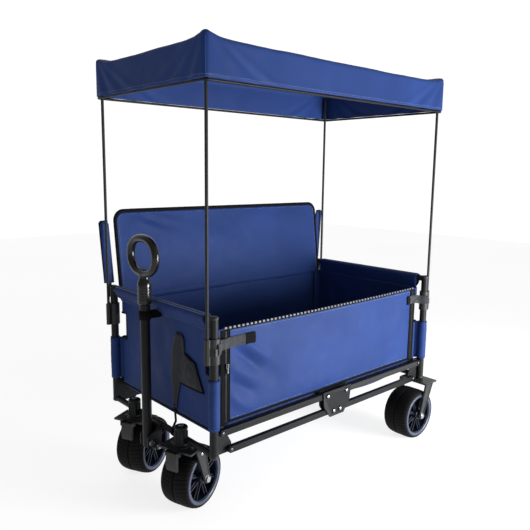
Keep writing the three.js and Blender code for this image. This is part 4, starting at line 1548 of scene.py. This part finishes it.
def fork_bolts(side):
    """Bolts at the tops of a caster fork's legs and through its plate."""
    centre, axle = wheel_frame("front", side)
    stem = Vector((STEM_X, SIDES[side] * CASTER_Y, 0))
    ahead = (Vector((centre.x, centre.y, 0)) - stem).normalized()
    leg_head = [(0, 0.0), (0.0062, 0.0), (0.0062, 0.0016), (0.0048, 0.0032), (0, 0.0036)]
    plate_head = [(0, 0.0), (0.0050, 0.0), (0.0050, 0.0014), (0, 0.0026)]
    solid = Solid()
    for face in (-1, 1):
        at = stem + ahead * 0.020 + Vector((0, 0, 0.178)) + axle * face * FORK_FACE
        solid.lathe(leg_head, at, axle * face, 20)
    for face in (-1, 1):
        at = stem + ahead * 0.004 + axle * face * 0.034 + Vector(Z) * FORK_TOP["front"]
        solid.lathe(plate_head, at, Z, 16)
    return solid.make(f"fork_bolts_{side}", ZINC, sharp=50)


for side in SIDES:
    seat(fork_bolts(side), f"caster_{side}", "bright_fastener")
    seat(fork_edges("front", side), f"caster_{side}", "fork_plastic")
    seat(fork_edges("rear", side), "rear_frame", "fork_plastic")

# --- pull handle --------------------------------------------------------------------------

handle_lo, handle_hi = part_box("handle_outer_tube")
grip_lo, grip_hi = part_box("handle_grip")
HANDLE_X = (handle_lo.x + handle_hi.x) / 2
HANDLE_R = 0.014
GRIP_X = HANDLE_X - 0.003
GRIP_TUBE = 0.0115
LOOP_BOTTOM = 0.663


HANDLE_AXIS = (HANDLE_X, 0, 0)


def handle_tubes():
    """The outer tube with its collar and foot plug, and the tube that slides in it."""
    z0, z1 = handle_lo.z, handle_hi.z
    bore, collar = 0.0114, HANDLE_R + 0.0012
    profile = [(bore, z0), (HANDLE_R - 0.0007, z0), (HANDLE_R, z0 + 0.001)]
    profile += [(HANDLE_R, z1 - 0.018), (collar, z1 - 0.017), (collar, z1 - 0.001)]
    profile += [(HANDLE_R, z1), (bore, z1)]
    outer = Solid().lathe(profile, HANDLE_AXIS, Z, 48)
    outer.lathe(disc_profile(bore, z0 + 0.001, z0 + 0.010), HANDLE_AXIS, Z, 32)
    lo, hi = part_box("handle_inner_tube")
    profile = [(0, lo.z), (0.0100, lo.z), (0.0110, lo.z + 0.002), (0.0110, hi.z), (0, hi.z)]
    inner = Solid().lathe(profile, HANDLE_AXIS, Z, 40)
    return outer.make("handle_tube", STEEL, sharp=35), inner.make("handle_slide_tube", STEEL, sharp=35)


def handle_loop():
    """A glossy loop on a flared neck and a ribbed collar."""
    half_z = (grip_hi.z - LOOP_BOTTOM) / 2 - GRIP_TUBE
    half_y = grip_hi.y - GRIP_TUBE
    middle = grip_hi.z - GRIP_TUBE - half_z

    def power(c, p):
        return math.copysign(abs(c) ** p, c)

    path = []
    for a in circle(72):
        y = half_y * power(math.cos(a), 0.86)
        path.append((GRIP_X, y, middle + half_z * power(math.sin(a), 0.92)))
    solid = Solid().tube(path, GRIP_TUBE, 24, closed=True, across=X)
    foot = grip_lo.z
    profile = [(0, foot), (0.0180, foot), (0.0198, foot + 0.002), (0.0200, foot + 0.010)]
    for k in range(5):
        z = foot + 0.014 + 0.008 * k
        profile += [(0.0200, z), (0.0188, z + 0.001), (0.0188, z + 0.003), (0.0200, z + 0.004)]
    neck = ((0.0198, 0.058), (0.0182, 0.065), (0.0155, 0.070), (0.0146, 0.076))
    neck += ((0.0152, 0.083), (0.0175, 0.088), (0, 0.094))
    profile += [(r, foot + rise) for r, rise in neck]
    solid.lathe(profile, HANDLE_AXIS, Z, 48)
    return solid.make("handle_loop_grip", GRIP, sharp=32)


def handle_screw():
    """The collar's lock screw."""
    at = (HANDLE_X, -0.0195, grip_lo.z + 0.055)
    profile = [(0, 0), (0.0036, 0), (0.0036, 0.001), (0.0026, 0.0018), (0, 0.002)]
    return Solid().lathe(profile, at, (0, -1, 0), 20).make("handle_screw", ZINC, sharp=50)


def handle_tie():
    """A tape loop round the tube and its sewn tail to the front hem."""
    lo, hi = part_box("handle_strap")
    inner, outer = HANDLE_R + 0.0018, HANDLE_R + 0.0036
    ring = [(inner, lo.z), (outer, lo.z + 0.0006), (outer, hi.z - 0.0006), (inner, hi.z)]
    solid = Solid().lathe(ring, HANDLE_AXIS, Z, 40)
    middle = (lo.z + hi.z) / 2
    start = HANDLE_X + HANDLE_R + 0.001

    def tail(t):
        x = start + (hi.x - start) * t
        return (x, 0.0009 * math.sin(6 * t), middle - 0.0012 * math.sin(math.pi * t))

    line = [tail(t) for t in spread(0.0, 1.0, step=0.1)]
    solid.tube(line, (hi.z - lo.z) / 2, 12, flat=0.1, across=Z)
    return solid.soft("handle_tie_tape")


outer, inner = handle_tubes()
seat(outer, "handle", "black_frame", "handle_outer_tube")
seat(inner, "handle_slider", "black_frame", "handle_inner_tube")
seat(handle_loop(), "handle_slider", "grip_plastic", "handle_grip")
seat(handle_screw(), "handle_slider", "bright_fastener")
seat(handle_tie(), "front_frame", "black_webbing", "handle_strap")

# --- canopy -------------------------------------------------------------------------------

cover_lo, cover_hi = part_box("canopy_cover")
POLE_R = 0.0045
COVER_X = (cover_lo.x + cover_hi.x) / 2
HALF_X = (cover_hi.x - cover_lo.x) / 2
HALF_Y = cover_hi.y
CORNER_PLAN_R = 0.014
HEM_Z = 1.1785
TOP_Z = 1.272
PEAK = 0.016
ROD_R = 0.0036
ROD_Z = 1.1740
EDGE_R = 0.010


def pole(name):
    """Seats a pole and its moulded tip."""
    lo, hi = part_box(f"canopy_pole_{name}")
    centre = ((lo.x + hi.x) / 2, (lo.y + hi.y) / 2, 0)
    bar = Solid().lathe(disc_profile(POLE_R, lo.z, hi.z - 0.008), centre, Z, 24)
    seat(bar.make(f"pole_{name}", STEEL), f"pole_{name}", "black_frame", f"canopy_pole_{name}")
    profile = [(0, hi.z - 0.022), (0.0058, hi.z - 0.022), (0.0062, hi.z - 0.004)]
    profile += [(0.004, hi.z), (0, hi.z)]
    tip = Solid().lathe(profile, centre, Z, 24)
    seat(tip.make(f"pole_tip_{name}", CLIP), f"pole_{name}", "clip_plastic")


def canopy_outline(inset, radius, step=0.012):
    """Points and outward directions round the canopy in plan, with rounded corners."""
    hx, hy = HALF_X - inset, HALF_Y - inset
    points = []
    corners = ((1, 1, 0), (-1, 1, 90), (-1, -1, 180), (1, -1, 270))
    for i, (sx, sy, first) in enumerate(corners):
        centre = Vector((sx * (hx - radius), sy * (hy - radius)))
        for k in range(7):
            a = math.radians(first + 15 * k)
            way = Vector((math.cos(a), math.sin(a)))
            points.append((centre + way * radius, way))
        nx, ny, _ = corners[(i + 1) % 4]
        way = points[-1][1]
        start = points[-1][0]
        stop = Vector((nx * (hx - radius), ny * (hy - radius))) + way * radius
        count = round((2 * (HALF_X if sy == ny else HALF_Y)) / step)
        for k in range(1, count):
            points.append((start.lerp(stop, k / count), way))
    return points


def from_corner(p):
    """Distances in from the nearest corner of the canopy, along X and along Y."""
    return HALF_X - abs(p.x), HALF_Y - abs(p.y)


def canopy_top(p):
    """Height of the canopy's top over a point: peaked corners, slack, and creases from them."""
    a, b = from_corner(p)
    reach = math.hypot(a, b)
    z = TOP_Z + PEAK * math.exp(-reach / 0.055)
    slack = math.sin(math.pi * min(1, a / (2 * HALF_X))) * math.sin(math.pi * min(1, b / (2 * HALF_Y)))
    z -= 0.004 * slack
    edge = min(a, b)
    pull = bell(((a - b) * 0.7071) / (0.010 + 0.10 * reach)) * bell((reach - 0.03) / 0.16)
    z += 0.0045 * pull * min(1, edge / 0.02)
    for swing, height in ((0.32, 0.0022), (-0.32, 0.0022), (0.6, -0.0020), (-0.6, -0.0020)):
        angle = math.atan2(b, a) - math.pi / 4 - swing
        z += height * bell(angle * reach / (0.008 + 0.05 * reach)) * bell((reach - 0.10) / 0.09)
    z += 0.0018 * crumple(p.x, p.y, 0.13, 81) + 0.0005 * crumple(p.x, p.y, 0.03, 83)
    return z


LONG_SIDE_HALF = 0.5155
SHORT_SIDE_HALF = 0.2795
# Creases down the sides by each corner: how far along, width, height.
SIDE_CREASES = (
    (0.040, 0.011, 0.0034),
    (0.074, 0.012, -0.0036),
    (0.118, 0.016, 0.0030),
    (0.165, 0.014, -0.0028),
    (0.215, 0.018, 0.0024),
)


def canopy_side(p, way, fall):
    """How far the canopy's side stands out; fall is 0 at its top edge and 1 at the hem."""
    along = max(from_corner(p))
    seed = 91 + 2 * round(way.x) + round(way.y)
    half = LONG_SIDE_HALF if abs(way.x) < 0.5 else SHORT_SIDE_HALF
    slack = math.sin(math.pi * min(1.0, along / half / 2))
    out = -0.0035 * slack * math.sin(math.pi * (0.25 + 0.6 * fall))
    creases = 0.0
    for at, width, height in SIDE_CREASES:
        lean = at * (0.30 + 0.80 * fall)
        creases += height * bell((along - lean) / (width * (0.6 + 0.5 * fall)))
    out += creases * (0.45 + 0.55 * fall) * min(1.0, along / 0.03)
    out += 0.0016 * crumple(along * 0.8, fall * 0.06, 0.05, seed) * min(1.0, along / 0.04)
    return out


def canopy():
    """The canopy as one sheet: top, rounded edge and the side down to the hem."""
    rings = []
    inner = canopy_outline(EDGE_R, CORNER_PLAN_R - EDGE_R)
    for t in [k / 26 for k in range(1, 26)] + [0.975, 0.99, 1.0]:
        rings.append([(p * t, canopy_top(p * t)) for p, _ in inner])
    for k in range(1, 6):
        a = math.pi / 2 * k / 5
        inset = EDGE_R * (1 - math.sin(a))
        ring = []
        for (p, way), (q, _) in zip(canopy_outline(inset, CORNER_PLAN_R - inset), inner):
            side = p + way * canopy_side(p, way, 0.0) * math.sin(a)
            ring.append((side, canopy_top(q) - EDGE_R * (1 - math.cos(a))))
        rings.append(ring)
    outer = canopy_outline(0.0, CORNER_PLAN_R)
    for k in range(1, 15):
        fall = k / 14
        ring = []
        for (p, way), (q, _) in zip(outer, inner):
            top = canopy_top(q) - EDGE_R
            ring.append((p + way * canopy_side(p, way, fall), top + (HEM_Z - top) * fall))
        rings.append(ring)
    count = len(inner)
    verts = [Vector((COVER_X, 0, canopy_top(Vector((0, 0)))))]
    for ring in rings:
        verts += [Vector((COVER_X + p.x, p.y, z)) for p, z in ring]
    faces = [(0, 1 + k, 1 + (k + 1) % count) for k in range(count)]
    for i in range(len(rings) - 1):
        a, b = 1 + i * count, 1 + (i + 1) * count
        for k in range(count):
            n = (k + 1) % count
            faces.append((a + k, b + k, b + n, a + n))
    return thickened(new_piece("canopy_cloth", verts, faces, BLUE, 75.0), CLOTH)


def canopy_rod():
    """The rod that holds the canopy's hem open."""
    line = [(COVER_X + p.x, p.y, ROD_Z) for p, _ in canopy_outline(ROD_R, 0.012, 0.03)]
    solid = Solid().tube(line, ROD_R, 14, closed=True, across=Z)
    return solid.make("canopy_rod", STEEL, sharp=60)


def canopy_seams():
    """Sewn seams down the canopy's corners, and the hem's stitching."""
    seams, thread = Solid(), Solid()
    zs = spread(HEM_Z + 0.001, TOP_Z, step=0.01)
    for sx, sy in itertools.product((-1, 1), repeat=2):
        x, y = COVER_X + sx * (HALF_X - 0.0040), sy * (HALF_Y - 0.0040)
        seams.tube([(x, y, z) for z in zs], 0.0018, 8)
    points = []
    for p, way in canopy_outline(0.0, CORNER_PLAN_R):
        q = p + way * (canopy_side(p, way, 0.93) + 0.0008)
        points.append((Vector((COVER_X + q.x, q.y, HEM_Z + 0.0075)), way))
    for (a, way), (b, _) in zip(points, points[1:]):
        stitches(thread, [a, b], (way.x, way.y, 0))
    return seams.soft("canopy_seams", BLUE), thread.make("canopy_stitching", THREAD)


for end, side in itertools.product(ENDS, SIDES):
    pole(f"{end}_{side}")
cover = seat(canopy(), "canopy", "blue_fabric", "canopy_cover")
seat(canopy_rod(), "canopy", "black_frame", "canopy_frame")
sewn = [seat(piece, "canopy", "blue_fabric") for piece in canopy_seams()]
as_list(sewn)


def clip_bolts(end):
    """Seats a bolt and its nut through each pole clip, and the clip's tightening lever."""
    bolts, levers = Solid(), Solid()
    for side, sy in SIDES.items():
        lo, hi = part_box(f"pole_clip_{end}_{side}")
        middle = (lo + hi) / 2
        x = middle.x - ENDS[end] * 0.002
        pole_y = sum(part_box(f"canopy_pole_{end}_{side}"), Vector()).y / 2
        for z, face in itertools.product((lo.z + 0.014, hi.z - 0.014), (-1, 1)):
            at = (x + ENDS[end] * 0.007, pole_y + face * 0.007, z)
            bolts.lathe(disc_profile(0.0040, 0.0, 0.0022), at, (0, face, 0), 6)
        levers.box((x - 0.005, middle.y, middle.z - 0.010),
                   (x + 0.005, middle.y + sy * 0.0185, middle.z + 0.010))
    seat(bolts.make(f"clip_bolts_{end}", OXIDE, 0.0003), f"{end}_frame", "bright_fastener")
    seat(levers.make(f"clip_levers_{end}", CLIP, 0.0012), f"{end}_frame", "clip_plastic")


for end in ENDS:
    clip_bolts(end)

# --- stage, light and camera --------------------------------------------------------------


FLOOR_REACH = 7.0
FLOOR_CELL = 0.7


def backdrop():
    """A pale floor, lit softly from below as on a light table."""
    surface = Surface("studio_paper", 0.9, Specular_IOR_Level=0.1, Emission_Strength=0.80)
    surface.shader.inputs["Emission Color"].default_value = (1, 1, 1, 1)
    tone = surface.noise(0.8, 2.0)
    surface.colour(surface.ramp(tone, (0.3, (0.27, 0.27, 0.27)), (0.7, (0.30, 0.30, 0.30))))
    stops = spread(-FLOOR_REACH, FLOOR_REACH, step=FLOOR_CELL)
    verts = [(x, y, -0.0005) for y in stops for x in stops]
    return new_piece("studio_floor", verts, quads(len(stops), len(stops)), surface.material)


def area_light(name, location, target, size, power):
    """A round soft light that faces a target."""
    data = bpy.data.lights.new(name, "AREA")
    data.shape = "DISK"
    data.size = size
    data.energy = power
    light = bpy.data.objects.new(name, data)
    light.location = location
    way = Vector(target) - Vector(location)
    light.rotation_euler = way.to_track_quat("-Z", "Y").to_euler()
    bpy.context.scene.collection.objects.link(light)


CAMERA_AT = (-1.3432, -1.4301, 0.9597)
CAMERA_TURN = (0.735, 0.158, 0.012)  # yaw, pitch and roll
LENS_MM = 39.709
SENSOR_MM = 36.0


def camera():
    """Looks at the cart's front near corner from a little above."""
    yaw, pitch, roll = CAMERA_TURN
    ahead = Vector((math.sin(yaw) * math.cos(pitch), math.cos(yaw) * math.cos(pitch), -math.sin(pitch)))
    level = Vector((math.cos(yaw), -math.sin(yaw), 0))
    rise = level.cross(ahead)
    right = level * math.cos(roll) + rise * math.sin(roll)
    up = rise * math.cos(roll) - level * math.sin(roll)
    data = bpy.data.cameras.new("camera")
    data.lens = LENS_MM
    data.sensor_width = SENSOR_MM
    eye = bpy.data.objects.new("camera", data)
    turn = Matrix((right, up, -ahead)).transposed().to_4x4()
    eye.matrix_world = Matrix.Translation(CAMERA_AT) @ turn
    bpy.context.scene.collection.objects.link(eye)
    return eye


def studio_world():
    """Soft white light all round, brighter from behind the cart."""
    world = bpy.data.worlds.new("studio")
    world.use_nodes = True
    nodes, wires = world.node_tree.nodes, world.node_tree.links
    background = nodes["Background"]
    background.inputs["Color"].default_value = (1, 1, 1, 1)
    toward = nodes.new("ShaderNodeVectorMath")
    toward.operation = "DOT_PRODUCT"
    toward.inputs[1].default_value = (0.67, 0.74, 0.0)
    sky = nodes.new("ShaderNodeMapRange")
    sky.interpolation_type = "SMOOTHSTEP"
    limits = {"From Min": 0.25, "From Max": 0.72, "To Min": 0.35, "To Max": 1.05}
    for socket, value in limits.items():
        sky.inputs[socket].default_value = value
    wires.new(nodes.new("ShaderNodeTexCoord").outputs["Generated"], toward.inputs[0])
    wires.new(toward.outputs["Value"], sky.inputs["Value"])
    wires.new(sky.outputs["Result"], background.inputs["Strength"])
    return world


backdrop()
area_light("key", (0.75, -1.75, 0.50), (0.05, 0.0, 0.55), 0.9, 76)
scene = bpy.context.scene
scene.world = studio_world()
scene.view_settings.view_transform = "Standard"
scene.camera = camera()
